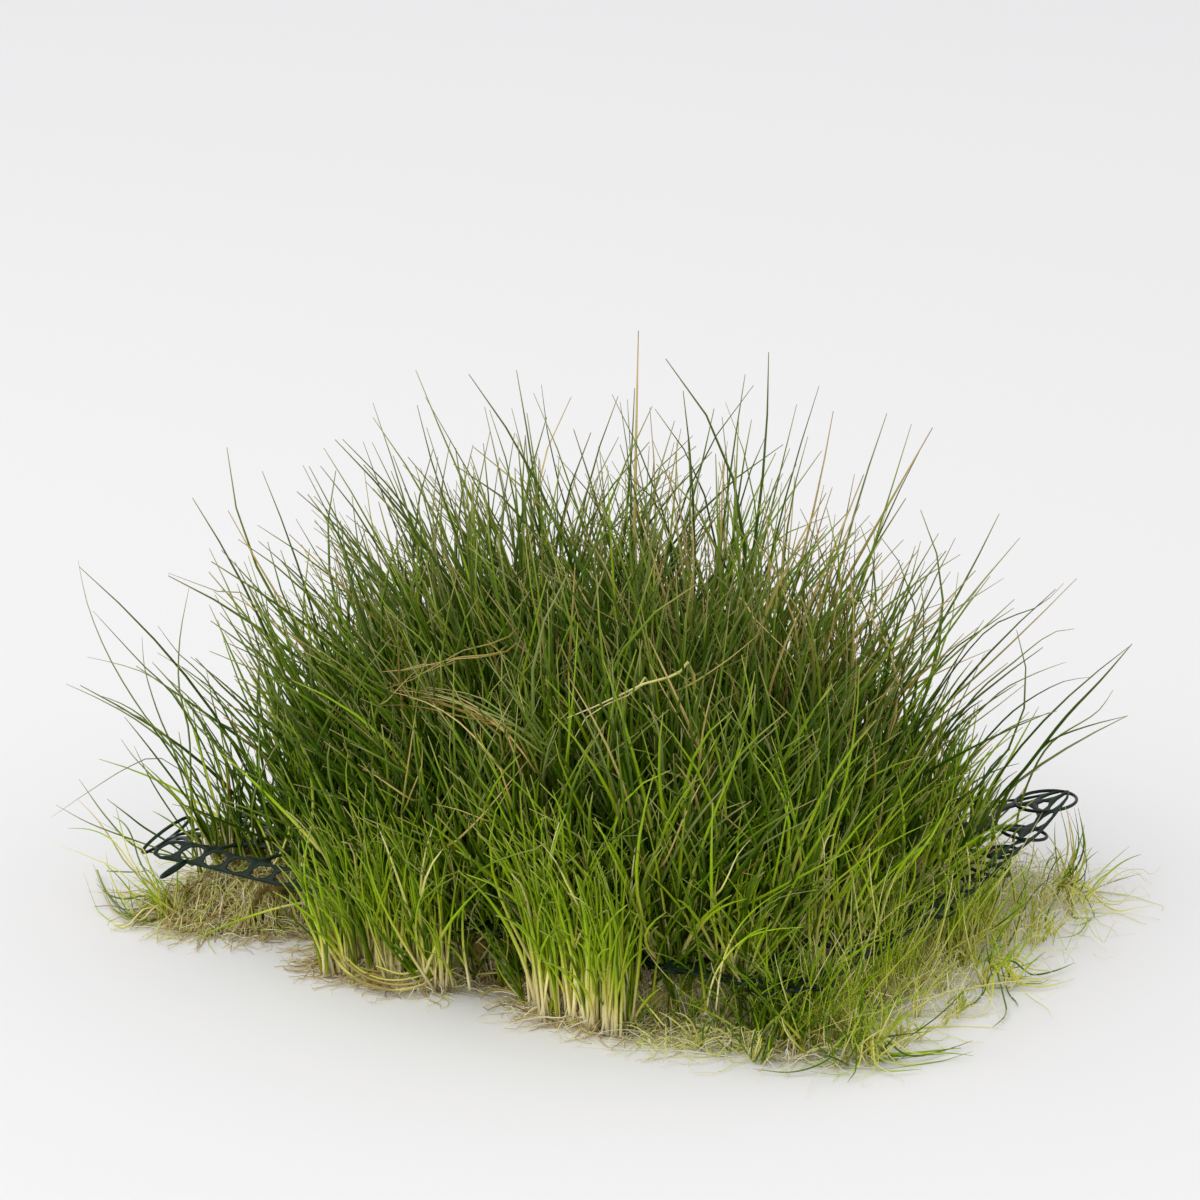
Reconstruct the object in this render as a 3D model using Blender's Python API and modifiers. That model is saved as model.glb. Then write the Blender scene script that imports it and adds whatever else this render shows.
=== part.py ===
"""Dwarf hairgrass that has grown through a plastic filament mat.

The object lies on a surface as it came out of the water: a felt of roots and runners at the bottom, a
dark green plastic mat on it, and tufts of hair-thin blades that come up through the openings of the mat
and lean apart into a low dome. Younger tufts have rooted in the rim of the felt, and single blades and
runners lie along the surface at its corners.

Each tuft is one solid, a narrow neck that flares above the mat into a bundle with a top of long points.
One growth map carries all of them: it says where a blade is that is rooted at a place of the mat and
has grown some part of its length. Neighbours have their own shares of the mat, so they never cross.

Lengths are millimetres up to the last step, which writes metres. +Z is up, and the origin is on the
surface below the centre of the mat. X runs along the mat's long side and -Y is its front.
"""

import math
import random
from itertools import product

import bmesh
import bpy
from mathutils import Vector, noise

MM = 0.001
GAP = 0.35
SEED = 7

GRASS_COLOUR = (0.05, 0.14, 0.012)
YOUNG_COLOUR = (0.12, 0.24, 0.02)
RUNNER_COLOUR = (0.3, 0.34, 0.08)
ROOT_COLOUR = (0.46, 0.35, 0.16)
PLASTIC_COLOUR = (0.008, 0.032, 0.022)

# The plastic mat: a lattice of thick filament, 13 openings by 9.
MAT_LENGTH = 124.0
MAT_WIDTH = 92.0
OPENINGS_LONG = 13
OPENINGS_WIDE = 9
FILAMENT = 1.2
MAT_LEVEL = 10.8
EDGE_LOOP = 5.5
LOOP_SHOULDER = 0.62
LEFT_CORNER_LIFT = 2.4
RIGHT_CORNER_LIFT = 6.0

# The felt of roots: a thin rim that lies on the surface and a thick middle that carries the mat.
FELT_OUTLINE = [
    (-63.5, -50.5),
    (-48.0, -54.0),
    (-24.0, -58.5),
    (-2.0, -57.0),
    (8.0, -53.5),
    (16.0, -57.5),
    (34.0, -56.5),
    (44.0, -54.5),
    (62.0, -54.0),
    (76.0, -43.0),
    (80.0, -30.0),
    (77.5, -8.0),
    (72.0, 28.0),
    (67.0, 46.0),
    (56.0, 56.0),
    (30.0, 57.5),
    (-6.0, 56.0),
    (-42.0, 57.5),
    (-62.0, 54.0),
    (-71.0, 36.0),
    (-72.5, 8.0),
    (-69.0, -24.0),
]
OUTLINE_STEPS = 3
FELT_MIDDLE = (44.0, 30.0)
RIM_WALL = 2.2
RIM_TOP = 3.0
RIM_ROUND = 1.2
RIM_WIDTH = 5.2
SLOPE_WIDTH = 3.8
TOP_STEP = 9.0
MIDDLE_SHRINK = 0.6
FELT_TOP = 9.2
FELT_HOLLOW = 1.3
ROUGH_PER_MM = 0.11

# The tufts that come up through the mat: every second opening holds one.
COLUMNS = 7
ROWS = 5
TUFT_GAP = 0.35
NECK_GAP = 0.45
POINTS_EACH_WAY = 3
POINT_SPREAD = 0.3

# The dome that the tufts make together. Bulk is where most blades end, and a few points go beyond it.
CROWN_HEIGHT = 72.0
LOW_HEIGHT = 10.0
CROWN_X = 0.0
CROWN_Y = 2.0
FALL_LEFT = (80.0, 4.0)
FALL_RIGHT = (71.0, 2.4)
FALL_FRONT = (70.0, 3.0)
FALL_BACK = (74.0, 3.0)
LEAN_LEFT = 13.0
LEAN_RIGHT = 11.0
LEAN_FRONT = 6.0
LEAN_BACK = 6.0
LEAN_POWER = 1.7
SHARE_FLARED = 0.34
SHARE_VALLEY = (0.62, 0.80)
SHARE_POINT = (0.98, 1.30)

# The blades that stand clear of the dome. The key is the tuft's column and row and which of its nine
# points it is, counted from its left front one. The value is the place of the tip.
LONG_BLADES = {
    (1, 1, 0): (-76, -51, 41),
    (1, 1, 3): (-80, -45, 60),
    (1, 2, 2): (-66, -31, 71),
    (1, 2, 8): (-64, -13, 72),
    (2, 2, 4): (-47, -25, 78),
    (2, 3, 4): (-48, -2, 84),
    (3, 3, 6): (-32, 9, 83),
    (3, 4, 3): (-33, 21, 87),
    (4, 4, 0): (-5, 16, 99),
    (4, 4, 8): (7, 32, 89),
    (5, 4, 7): (20, 35, 88),
    (5, 5, 5): (28, 45, 82),
    (5, 5, 8): (31, 54, 76),
    (6, 5, 1): (46, 37, 64),
    (6, 5, 8): (58, 52, 53),
    (7, 5, 7): (71, 56, 44),
    (7, 5, 8): (72, 53, 32),
}

# The young plants outside the mat, as the part of the rim that each has and the share of its full length.
RIM_NECK = 0.8
RIM_ROOT = 1.5
RIM_TUFTS = [
    ((-23.0, 0.0, -56.0, -52.3), 0.75),
    ((16.5, 35.0, -55.6, -52.3), 0.85),
    ((45.0, 60.0, -53.6, -52.1), 0.60),
    ((73.2, 77.0, -36.5, -28.5), 0.90),
    ((74.2, 77.6, -23.0, -12.0), 0.80),
    ((68.3, 71.6, 14.0, 26.0), 0.75),
    ((18.0, 36.0, 52.3, 55.5), 0.60),
    ((-34.0, -16.0, 52.3, 55.5), 0.60),
    ((-71.6, -68.3, 0.0, 15.0), 0.60),
]

# Blades and runners that lie along the surface. Each spray has a crown on the rim of the felt, and each
# of its blades is the list of places that it passes through on its way out.
CROWN_RADIUS = 1.4
CROWN_TAPER = 0.7
CROWN_RISE = 1.8
BLADE_THICK = 0.9
TIP_TAPER = 0.25
SPRAYS = {
    "spray_left_corner": (
        (-60.8, -47.8),
        [
            [(-62, -51, 3.9), (-64.5, -53.5, 1.5), (-69, -51, 0.9), (-75, -46.5, 0.9), (-79.5, -44, 6)],
            [(-65, -48.6, 4.2), (-70, -47.5, 2.4), (-76, -44.5, 1.2), (-81.5, -40.5, 1.0)],
            [(-63.4, -47.4, 5.4), (-69, -48.2, 9), (-75, -45, 12), (-83, -39, 13), (-91, -33, 13)],
        ],
    ),
    "spray_right_corner": (
        (65.4, 41.0),
        [
            [(69, 42.4, 3.8), (72.1, 43.1, 1.2), (76.8, 40.5, 0.8), (79, 43.4, 0.8), (81, 46.1, 0.8)],
            [(69, 39, 4), (72.5, 37, 1.5), (75, 33, 0.8), (76.5, 26, 0.8), (74.5, 22.5, 0.8)],
            [(67, 43.8, 5.4), (68.8, 43.4, 9.5), (69.3, 42, 13.5), (68.9, 40.8, 18)],
        ],
    ),
    "spray_right_edge": (
        (74.4, -2.0),
        [
            [(77, 0.6, 4.0), (79.5, 3, 1.3), (81.5, 8, 0.8), (82.5, 13, 0.8)],
            [(77.8, -2.6, 4.0), (81, -2, 1.3), (84, 1, 0.8), (86, 6, 0.8)],
            [(77, -5, 4.0), (80.5, -9, 1.3), (84, -15, 0.8), (85, -22, 0.8)],
        ],
    ),
    "spray_near_corner": (
        (73.4, -41.6),
        [
            [(76.2, -42.6, 4.0), (80, -41, 1.3), (83, -35, 0.8), (85, -28.5, 0.8)],
            [(75.4, -44.6, 4.0), (77.5, -47.5, 1.3), (80, -47.5, 0.8), (84, -44, 0.8)],
            [(71.6, -45.6, 4.2), (70.5, -51, 1.8), (67, -56, 0.8), (61, -58, 0.8)],
        ],
    ),
    "spray_back_corner": (
        (-61.6, 49.2),
        [
            [(-66, 50, 4.0), (-71, 52, 1.3), (-76, 53, 0.8), (-80, 51, 0.8)],
            [(-63.5, 53, 4.0), (-66, 58, 1.3), (-64, 62, 0.8), (-59, 64, 0.8)],
        ],
    ),
}


def clear_scene():
    for obj in list(bpy.data.objects):
        bpy.data.objects.remove(obj, do_unlink=True)


def new_material(name, colour, roughness):
    """A Principled material from a colour in linear light."""
    material = bpy.data.materials.new(name)
    material.use_nodes = True
    shader = material.node_tree.nodes["Principled BSDF"]
    shader.inputs["Base Color"].default_value = (*colour, 1.0)
    shader.inputs["Roughness"].default_value = roughness
    shader.inputs["Metallic"].default_value = 0.0
    return material


def add_piece(name, bm, collection, colour, roughness):
    """Turns a bmesh in millimetres into an object in metres, with faces that point outwards."""
    bmesh.ops.scale(bm, vec=(MM, MM, MM), verts=bm.verts)
    bmesh.ops.recalc_face_normals(bm, faces=bm.faces)
    if bm.calc_volume(signed=True) < 0:
        bmesh.ops.reverse_faces(bm, faces=bm.faces)
    mesh = bpy.data.meshes.new(name)
    bm.to_mesh(mesh)
    bm.free()
    mesh.materials.append(new_material(name, colour, roughness))
    piece = bpy.data.objects.new(name, mesh)
    collection.objects.link(piece)
    return piece


def between(low, high, part):
    return low + (high - low) * part


def mat_level(x, y):
    """The height of the filament's middle: the mat lies level, with two corners curled up."""
    along = x / (MAT_LENGTH / 2)
    across = y / (MAT_WIDTH / 2)
    left = max(-along, 0.0) ** 3 * max(-across, 0.0) ** 2
    right = max(along, 0.0) ** 3 * max(across, 0.0) ** 2
    return MAT_LEVEL + LEFT_CORNER_LIFT * left + RIGHT_CORNER_LIFT * right


def fall(distance, shape):
    """One at the crown, nought where the dome ends. shape is how far that is, and how square."""
    reach, power = shape
    return 1.0 - min(abs(distance) / reach, 1.0) ** power


def bulk_height(x, y):
    along = fall(x - CROWN_X, FALL_RIGHT if x > CROWN_X else FALL_LEFT)
    across = fall(y - CROWN_Y, FALL_BACK if y > CROWN_Y else FALL_FRONT)
    return LOW_HEIGHT + (CROWN_HEIGHT - LOW_HEIGHT) * along * across


def lean(distance, half, towards_low, towards_high):
    """How far a blade has leaned outwards at its full length, from where it is rooted."""
    most = towards_high if distance > 0 else -towards_low
    return most * (abs(distance) / half) ** 1.5


def grown(x, y, root, share):
    """Where a blade rooted at x, y and the height root is after this share of its length."""
    out = share**LEAN_POWER
    return Vector(
        (
            x + lean(x, MAT_LENGTH / 2, LEAN_LEFT, LEAN_RIGHT) * out,
            y + lean(y, MAT_WIDTH / 2, LEAN_FRONT, LEAN_BACK) * out,
            root + (bulk_height(x, y) - root) * share * (1.1 - 0.1 * share),
        )
    )


def smooth_outline(points, steps):
    """A closed smooth line through the points, each stretch cut into this many steps."""
    line = []
    count = len(points)
    for index in range(count):
        before, start, end, after = (Vector(points[(index + n) % count]) for n in (-1, 0, 1, 2))
        for step in range(steps):
            t = step / steps
            bend = (2 * before - 5 * start + 4 * end - after) * t
            turn = (3 * start - before - 3 * end + after) * t * t
            line.append(start + 0.5 * t * ((end - before) + bend + turn))
    return line


def inwards(point, distance):
    """The point moved straight towards the felt's middle block, and never into it."""
    half_x, half_y = FELT_MIDDLE
    near = Vector((min(max(point.x, -half_x), half_x), min(max(point.y, -half_y), half_y), point.z))
    way = near - point
    return point + way.normalized() * min(distance, 0.8 * way.length)


def drawn_up(bm, face, place):
    """Extrudes a face, moves its new corners with place() and returns it."""
    raised = bmesh.ops.extrude_face_region(bm, geom=[face])["geom"]
    new_face = next(part for part in raised if isinstance(part, bmesh.types.BMFace))
    if any(len(edge.link_faces) > 2 for edge in face.edges):
        bmesh.ops.delete(bm, geom=[face], context="FACES_ONLY")
    for vert in new_face.verts:
        vert.co = place(vert.co)
    return new_face


def root_felt(collection):
    """The slab of roots: a closed outline drawn up and in by steps, then roughened from above."""
    bm = bmesh.new()
    outline = smooth_outline(FELT_OUTLINE, OUTLINE_STEPS)
    bottom = bm.faces.new([bm.verts.new((point.x, point.y, 0.0)) for point in outline])
    top = drawn_up(bm, bottom, lambda co: Vector((co.x, co.y, RIM_WALL)))
    rings = [
        (RIM_ROUND, RIM_TOP),
        (RIM_WIDTH, RIM_TOP),
        (SLOPE_WIDTH, FELT_TOP),
        (TOP_STEP, FELT_TOP),
        (TOP_STEP, FELT_TOP),
    ]
    for width, height in rings:
        top = drawn_up(bm, top, lambda co: inwards(Vector((co.x, co.y, height)), width))
    top = drawn_up(bm, top, lambda co: Vector((co.x * MIDDLE_SHRINK, co.y * MIDDLE_SHRINK, FELT_TOP)))
    bmesh.ops.poke(bm, faces=[top])
    for vert in bm.verts:
        if vert.co.z > (RIM_WALL + RIM_TOP) / 2:
            rough = 0.5 + 0.5 * noise.noise(vert.co * ROUGH_PER_MM)
            vert.co.z -= FELT_HOLLOW * rough * vert.co.z / FELT_TOP
    return add_piece("root_felt", bm, collection, ROOT_COLOUR, 0.85)


def filament_mat(collection):
    """The lattice: a grid of faces with tabs along its edges, whose edges become filament."""
    bm = bmesh.new()
    bmesh.ops.create_grid(bm, x_segments=OPENINGS_LONG, y_segments=OPENINGS_WIDE, size=0.5)
    bmesh.ops.scale(bm, vec=(MAT_LENGTH, MAT_WIDTH, 1.0), verts=bm.verts)
    edges = [edge for edge in bm.edges if edge.is_boundary]
    for edge in edges:
        middle = (edge.verts[0].co + edge.verts[1].co) / 2
        on_end = abs(middle.x) > MAT_LENGTH / 2 - 0.1
        pitch = MAT_WIDTH / OPENINGS_WIDE if on_end else MAT_LENGTH / OPENINGS_LONG
        place = round((middle.y if on_end else middle.x) / pitch)
        if place % 2:
            continue
        outwards = Vector((math.copysign(1.0, middle.x), 0.0, 0.0)) if on_end else None
        outwards = outwards or Vector((0.0, math.copysign(1.0, middle.y), 0.0))
        moved = bmesh.ops.extrude_edge_only(bm, edges=[edge])["geom"]
        rails = [part for part in moved if isinstance(part, bmesh.types.BMEdge)]
        ends = [part for part in moved if isinstance(part, bmesh.types.BMVert)]
        outer = next(rail for rail in rails if all(vert in ends for vert in rail.verts))
        bmesh.ops.translate(bm, vec=outwards * EDGE_LOOP * LOOP_SHOULDER, verts=ends)
        added = bmesh.ops.subdivide_edges(bm, edges=[outer], cuts=1)["geom_inner"]
        tips = [part for part in added if isinstance(part, bmesh.types.BMVert)]
        bmesh.ops.translate(bm, vec=outwards * EDGE_LOOP * (1.0 - LOOP_SHOULDER), verts=tips)
    for vert in bm.verts:
        vert.co.z = mat_level(vert.co.x, vert.co.y)
    mat = add_piece("filament_mat", bm, collection, PLASTIC_COLOUR, 0.4)
    wire = mat.modifiers.new("Filament", "WIREFRAME")
    wire.thickness = FILAMENT * MM
    wire.use_replace = True
    wire.use_boundary = True
    wire.use_even_offset = True
    return mat


def tuft(name, collection, share, neck, foot, root, colour, draw, reach=1.0, long_blades=None):
    """One plant: a neck, a flare that fills its share of the dome, and a top of long points.

    share is the part of the mat that belongs to it and neck the narrow part low down, both as
    (lowest x, highest x, lowest y, highest y). foot is where it meets the felt, and root where
    its blades begin to part. reach shortens a young tuft.
    """
    bm = bmesh.new()
    bmesh.ops.create_grid(bm, x_segments=POINTS_EACH_WAY, y_segments=POINTS_EACH_WAY, size=0.5)
    faces = list(bm.faces)
    for level in range(3):
        raised = bmesh.ops.extrude_face_region(bm, geom=faces)["geom"]
        if level:
            bmesh.ops.delete(bm, geom=faces, context="FACES")
        faces = [part for part in raised if isinstance(part, bmesh.types.BMFace)]
        verts = [part for part in raised if isinstance(part, bmesh.types.BMVert)]
        bmesh.ops.translate(bm, vec=(0.0, 0.0, 1.0), verts=verts)
    tips = bmesh.ops.poke(bm, faces=faces)["verts"]
    under = [face for face in bm.faces if all(vert.co.z < 0.5 for vert in face.verts)]
    bmesh.ops.dissolve_faces(bm, faces=under)

    cell = 1.0 / POINTS_EACH_WAY
    for vert in tips:
        column = round((vert.co.x + 0.5) / cell - 0.5)
        row = round((vert.co.y + 0.5) / cell - 0.5)
        place = row * POINTS_EACH_WAY + column
        aside = [draw.uniform(-POINT_SPREAD, POINT_SPREAD) * cell for _ in range(2)]
        length = draw.uniform(*SHARE_POINT) * reach
        if long_blades and place in long_blades:
            vert.co = Vector(long_blades[place])
            continue
        x = between(share[0], share[1], vert.co.x + 0.5 + aside[0])
        y = between(share[2], share[3], vert.co.y + 0.5 + aside[1])
        vert.co = grown(x, y, root, length)
    for vert in bm.verts:
        if vert in tips:
            continue
        level = round(vert.co.z)
        box = neck if level < 2 else share
        x = between(box[0], box[1], vert.co.x + 0.5)
        y = between(box[2], box[3], vert.co.y + 0.5)
        if level == 0:
            vert.co = Vector((x, y, foot))
        elif level == 1:
            vert.co = Vector((x, y, root))
        elif level == 2:
            vert.co = grown(x, y, root, SHARE_FLARED * reach)
        else:
            vert.co = grown(x, y, root, draw.uniform(*SHARE_VALLEY) * reach)
    return add_piece(name, bm, collection, colour, 0.6)


def mat_tufts(collection):
    """The plants in the mat, each with its neck in the middle of an opening."""
    pitch_x = 2 * MAT_LENGTH / OPENINGS_LONG
    pitch_y = 2 * MAT_WIDTH / OPENINGS_WIDE
    neck_x = pitch_x / 4 - FILAMENT / 2 - NECK_GAP
    neck_y = pitch_y / 4 - FILAMENT / 2 - NECK_GAP
    for column in range(COLUMNS):
        for row in range(ROWS):
            x = (column - (COLUMNS - 1) / 2) * pitch_x
            y = (row - (ROWS - 1) / 2) * pitch_y
            share = (
                max(x - pitch_x / 2, -MAT_LENGTH / 2) + TUFT_GAP,
                min(x + pitch_x / 2, MAT_LENGTH / 2) - TUFT_GAP,
                max(y - pitch_y / 2, -MAT_WIDTH / 2) + TUFT_GAP,
                min(y + pitch_y / 2, MAT_WIDTH / 2) - TUFT_GAP,
            )
            neck = (x - neck_x, x + neck_x, y - neck_y, y + neck_y)
            long_blades = {
                place: tip
                for (at_column, at_row, place), tip in LONG_BLADES.items()
                if (at_column, at_row) == (column + 1, row + 1)
            }
            tuft(
                f"tuft_{column + 1}_{row + 1}",
                collection,
                share,
                neck,
                FELT_TOP + GAP,
                max(mat_level(*corner) for corner in product(share[:2], share[2:])) + FILAMENT,
                GRASS_COLOUR,
                random.Random(SEED * 100 + column * ROWS + row),
                long_blades=long_blades,
            )


def rim_tufts(collection):
    """The young plants rooted in the rim of the felt, outside the mat."""
    for index, (share, reach) in enumerate(RIM_TUFTS):
        middle_x = (share[0] + share[1]) / 2
        middle_y = (share[2] + share[3]) / 2
        neck = (
            between(middle_x, share[0], RIM_NECK),
            between(middle_x, share[1], RIM_NECK),
            between(middle_y, share[2], RIM_NECK),
            between(middle_y, share[3], RIM_NECK),
        )
        tuft(
            f"rim_tuft_{index + 1}",
            collection,
            share,
            neck,
            RIM_TOP + GAP,
            RIM_TOP + GAP + RIM_ROOT,
            YOUNG_COLOUR,
            random.Random(SEED * 1000 + index),
            reach=reach,
        )


def draw_blade(bm, side, path):
    """Draws a side of the crown out along the path, ever thinner, to a blunt tip."""
    points = [Vector(point) for point in path]
    before = side.calc_center_median()
    for index, point in enumerate(points):
        centre = side.calc_center_median()
        after = points[min(index + 1, len(points) - 1)]
        way = (after - before).normalized()
        across = way.cross(Vector((0.0, 0.0, 1.0))).normalized()
        upwards = across.cross(way)
        half = between(1.0, TIP_TAPER, index / (len(points) - 1)) * BLADE_THICK / 2

        def place(co):
            aside = math.copysign(half, (co - centre).dot(across))
            above = math.copysign(half, (co - centre).dot(upwards))
            return point + across * aside + upwards * above

        side = drawn_up(bm, side, place)
        before = point


def sprays(collection):
    for name, (middle, blades) in SPRAYS.items():
        bm = bmesh.new()
        bmesh.ops.create_cone(
            bm,
            cap_ends=True,
            segments=8,
            radius1=CROWN_RADIUS,
            radius2=CROWN_TAPER * CROWN_RADIUS,
            depth=CROWN_RISE,
        )
        foot = Vector((*middle, RIM_TOP + GAP + CROWN_RISE / 2))
        bmesh.ops.translate(bm, vec=foot, verts=bm.verts)
        for path in blades:
            bm.normal_update()
            sides = [face for face in bm.faces if len(face.verts) == 4 and abs(face.normal.z) < 0.6]
            near = [face for face in sides if (face.calc_center_median() - foot).xy.length < CROWN_RADIUS]
            way = (Vector(path[0]) - foot).normalized()
            draw_blade(bm, max(near, key=lambda face: face.normal.dot(way)), path)
        add_piece(name, bm, collection, RUNNER_COLOUR, 0.6)


def main():
    clear_scene()
    collection = bpy.data.collections.new("dwarf_hairgrass")
    bpy.context.scene.collection.children.link(collection)
    root_felt(collection)
    filament_mat(collection)
    mat_tufts(collection)
    rim_tufts(collection)
    sprays(collection)


main()
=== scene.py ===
# %% [markdown]
# # Dwarf hairgrass grown through a plastic mat
#
# This lesson dresses a small CAD model of an aquarium plant. The CAD gives the places and the outer form:
# a felt of roots, a mat of plastic filament, and tufts that lean apart into a low dome. Here every tuft
# becomes hundreds of separate blades, the felt becomes roots and runners, and the mat becomes filament.
# All lengths are written in millimetres, because that is how a gardener would measure them, and turned to
# Blender's metres in one place.

# %% Load the frame
import math

import bmesh
import bpy
import numpy as np
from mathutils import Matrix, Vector
from mathutils.bvhtree import BVHTree


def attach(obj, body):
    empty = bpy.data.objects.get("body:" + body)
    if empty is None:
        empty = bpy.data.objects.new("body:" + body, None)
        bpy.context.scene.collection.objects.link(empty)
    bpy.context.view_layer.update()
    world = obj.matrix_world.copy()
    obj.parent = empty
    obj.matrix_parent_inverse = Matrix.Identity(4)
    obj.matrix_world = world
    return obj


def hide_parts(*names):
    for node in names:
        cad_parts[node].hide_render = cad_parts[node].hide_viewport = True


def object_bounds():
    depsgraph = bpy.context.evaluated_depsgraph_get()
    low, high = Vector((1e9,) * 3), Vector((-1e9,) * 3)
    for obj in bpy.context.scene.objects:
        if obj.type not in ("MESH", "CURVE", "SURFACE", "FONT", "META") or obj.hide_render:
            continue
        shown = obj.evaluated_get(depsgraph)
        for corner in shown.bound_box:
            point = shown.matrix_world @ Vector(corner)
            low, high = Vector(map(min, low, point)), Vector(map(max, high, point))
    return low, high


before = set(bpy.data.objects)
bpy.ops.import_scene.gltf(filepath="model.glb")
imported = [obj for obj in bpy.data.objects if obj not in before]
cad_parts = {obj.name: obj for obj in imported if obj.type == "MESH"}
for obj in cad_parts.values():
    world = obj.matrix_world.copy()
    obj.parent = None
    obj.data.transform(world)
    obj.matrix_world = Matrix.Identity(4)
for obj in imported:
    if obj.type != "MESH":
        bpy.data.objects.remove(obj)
cad_low, cad_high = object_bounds()
MM = 0.001
# Blades, roots and runners stay this far inside the CAD model's box.
ROOM = 0.4
low_corner = np.array(cad_low) / MM + ROOM
high_corner = np.array(cad_high) / MM - ROOM
print("nodes", len(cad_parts), "size in mm", [round(side / MM) for side in cad_high - cad_low])

# %% [markdown]
# ## Where the camera stands
#
# The camera comes first, because some blades are placed by where they show in the photograph. It looks from
# the front right corner, 16 degrees above level, through a long lens. A pixel of the photograph is a line of
# sight from the camera. It becomes a place once something else is known: how far back the blade stands, how
# high a runner lies, or that a dead blade hangs over the outside of the dome.

# %% Lines of sight
AZIMUTH, ELEVATION, DISTANCE = 31.46, 16.0, 900.0
LENS, SENSOR, FRAME_PIXELS = 158.9, 36.0, 1200.0
TARGET = np.array([0.65, -5.9, 56.6])
turn, rise = math.radians(AZIMUTH), math.radians(ELEVATION)
BACK = np.array([math.sin(turn) * math.cos(rise), -math.cos(turn) * math.cos(rise), math.sin(rise)])
RIGHT = np.array([math.cos(turn), math.sin(turn), 0.0])
UP = np.cross(BACK, RIGHT)
EYE = TARGET + BACK * DISTANCE
FOCAL_PIXELS = LENS / SENSOR * FRAME_PIXELS


def sight(u, v):
    """The direction from the camera through a pixel of the photograph's 1200 by 1200 frame."""
    middle = FRAME_PIXELS / 2
    return RIGHT * (u - middle) / FOCAL_PIXELS - UP * (v - middle) / FOCAL_PIXELS - BACK


def on_plane(u, v, depth):
    """The place in mm where the pixel's line of sight meets the upright plane at y = depth."""
    way = sight(u, v)
    return EYE + way * (depth - EYE[1]) / way[1]


def on_level(u, v, level):
    """The place in mm where the pixel's line of sight meets the level plane at that height."""
    way = sight(u, v)
    return EYE + way * (level - EYE[2]) / way[2]


print("camera at", EYE.round(), "mm, one mm is", round(FOCAL_PIXELS / DISTANCE, 2), "pixels")

# %% [markdown]
# ## Small helpers for the materials
#
# Colours are picked as sRGB hex values, as a paint program shows them, but Blender's shaders work in linear
# light. One function does that change. Another adds a node with its settings and its links in one line, so
# that each material reads as a list of its nodes.


# %% Colour and node helpers
def linear(hex_code):
    """The linear colour, with alpha, of an sRGB hex value."""
    parts = [int(hex_code[n : n + 2], 16) / 255 for n in (1, 3, 5)]
    return (*(c / 12.92 if c <= 0.04045 else ((c + 0.055) / 1.055) ** 2.4 for c in parts), 1.0)


def add_node(tree, kind, inputs=None, stops=None, **settings):
    """Adds a node. inputs gives each input, by name or number, a value or a socket; stops fills a ramp."""
    node = tree.nodes.new(kind)
    for name, value in settings.items():
        setattr(node, name, value)
    for name, value in (inputs or {}).items():
        if isinstance(value, bpy.types.NodeSocket):
            tree.links.new(value, node.inputs[name])
        else:
            node.inputs[name].default_value = value
    if stops:
        elements = node.color_ramp.elements
        while len(elements) < len(stops):
            elements.new(1.0)
        for element, (place, hex_code) in zip(elements, stops):
            element.position = place
            element.color = linear(hex_code)
    return node


def new_material(name, roughness, ior, specular=0.5):
    """A material, its node tree and its Principled shader, with the numbers that are the same all over."""
    material = bpy.data.materials.new(name)
    material.use_nodes = True
    shader = material.node_tree.nodes["Principled BSDF"]
    for socket, value in (("Roughness", roughness), ("IOR", ior), ("Specular IOR Level", specular)):
        shader.inputs[socket].default_value = value
    return material, material.node_tree, shader


print("white in linear light", linear("#ffffff")[:3])

# %% [markdown]
# ## The leaf material
#
# A hairgrass blade is a thin round stem. Its colour runs along its length: pale where it was buried among
# the roots, a full green in the light, and a greyer, drier tip. The pale tips, and the cream feet of young
# blades, are partly painted light: the tips catch the most light, and the feet are lifted out of the shade of
# the blades above. The colour also differs from blade to blade, and some blades have died to straw. So the
# blade's UV map is used as a table. It has 32 narrow strips side by side; a blade lies in one of them, and the
# height in the strip is the place along the blade. The material reads the strip's number and gives each number
# its own kind and its own shade. All blades of one strip look alike, which is no loss among thousands, and a
# picture of 32 strips can hold every blade. A material for each kind would work too, but one piece would then
# need eight of them.

# %% Leaf strips
STRIPS = 32
# Each kind's first strip and the one after its last.
FRESH, DEEP, AGED, YOUNG = (0, 9), (9, 15), (15, 18), (18, 23)
PALE, STRAW, DRY_TIP, BROWN_TIP = (23, 25), (25, 27), (27, 30), (30, 32)
UV_NAME = "OFBake"


def strip_coordinates(tree):
    """The strip's number, the place along it and the place across it."""
    uv = add_node(tree, "ShaderNodeUVMap", uv_map=UV_NAME).outputs[0]
    split = add_node(tree, "ShaderNodeSeparateXYZ", {0: uv})
    wide = add_node(tree, "ShaderNodeMath", {0: split.outputs[0], 1: STRIPS}, operation="MULTIPLY")
    number, across = (add_node(tree, "ShaderNodeMath", {0: wide.outputs[0]}, operation=part).outputs[0]
                      for part in ("FLOOR", "FRACT"))
    return number, split.outputs[1], across


def streaks(tree, number, along, across, scales):
    """Noise that is drawn out along the blade, different in each strip, with a scale for each way."""
    x, y = (add_node(tree, "ShaderNodeMath", {0: way, 1: scale}, operation="MULTIPLY").outputs[0]
            for way, scale in zip((across, along), scales))
    place = add_node(tree, "ShaderNodeCombineXYZ", {0: x, 1: y, 2: number}).outputs[0]
    return add_node(tree, "ShaderNodeTexNoise", {"Vector": place}, noise_dimensions="3D").outputs[0]


print("a blade's strip is", round(1 / STRIPS, 3), "of the picture's width")

# %% Shades from strip to strip
# The darkest and lightest strip against the ramp, the yellowest and greenest, and how full the colour is.
VALUES, HUES, FULLNESS = (0.82, 1.17), (0.488, 0.508), 1.03
# Noise keeps mostly within these, so they are what is stretched over a whole range.
NOISE_LOW, NOISE_HIGH = 0.3, 0.7


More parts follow.
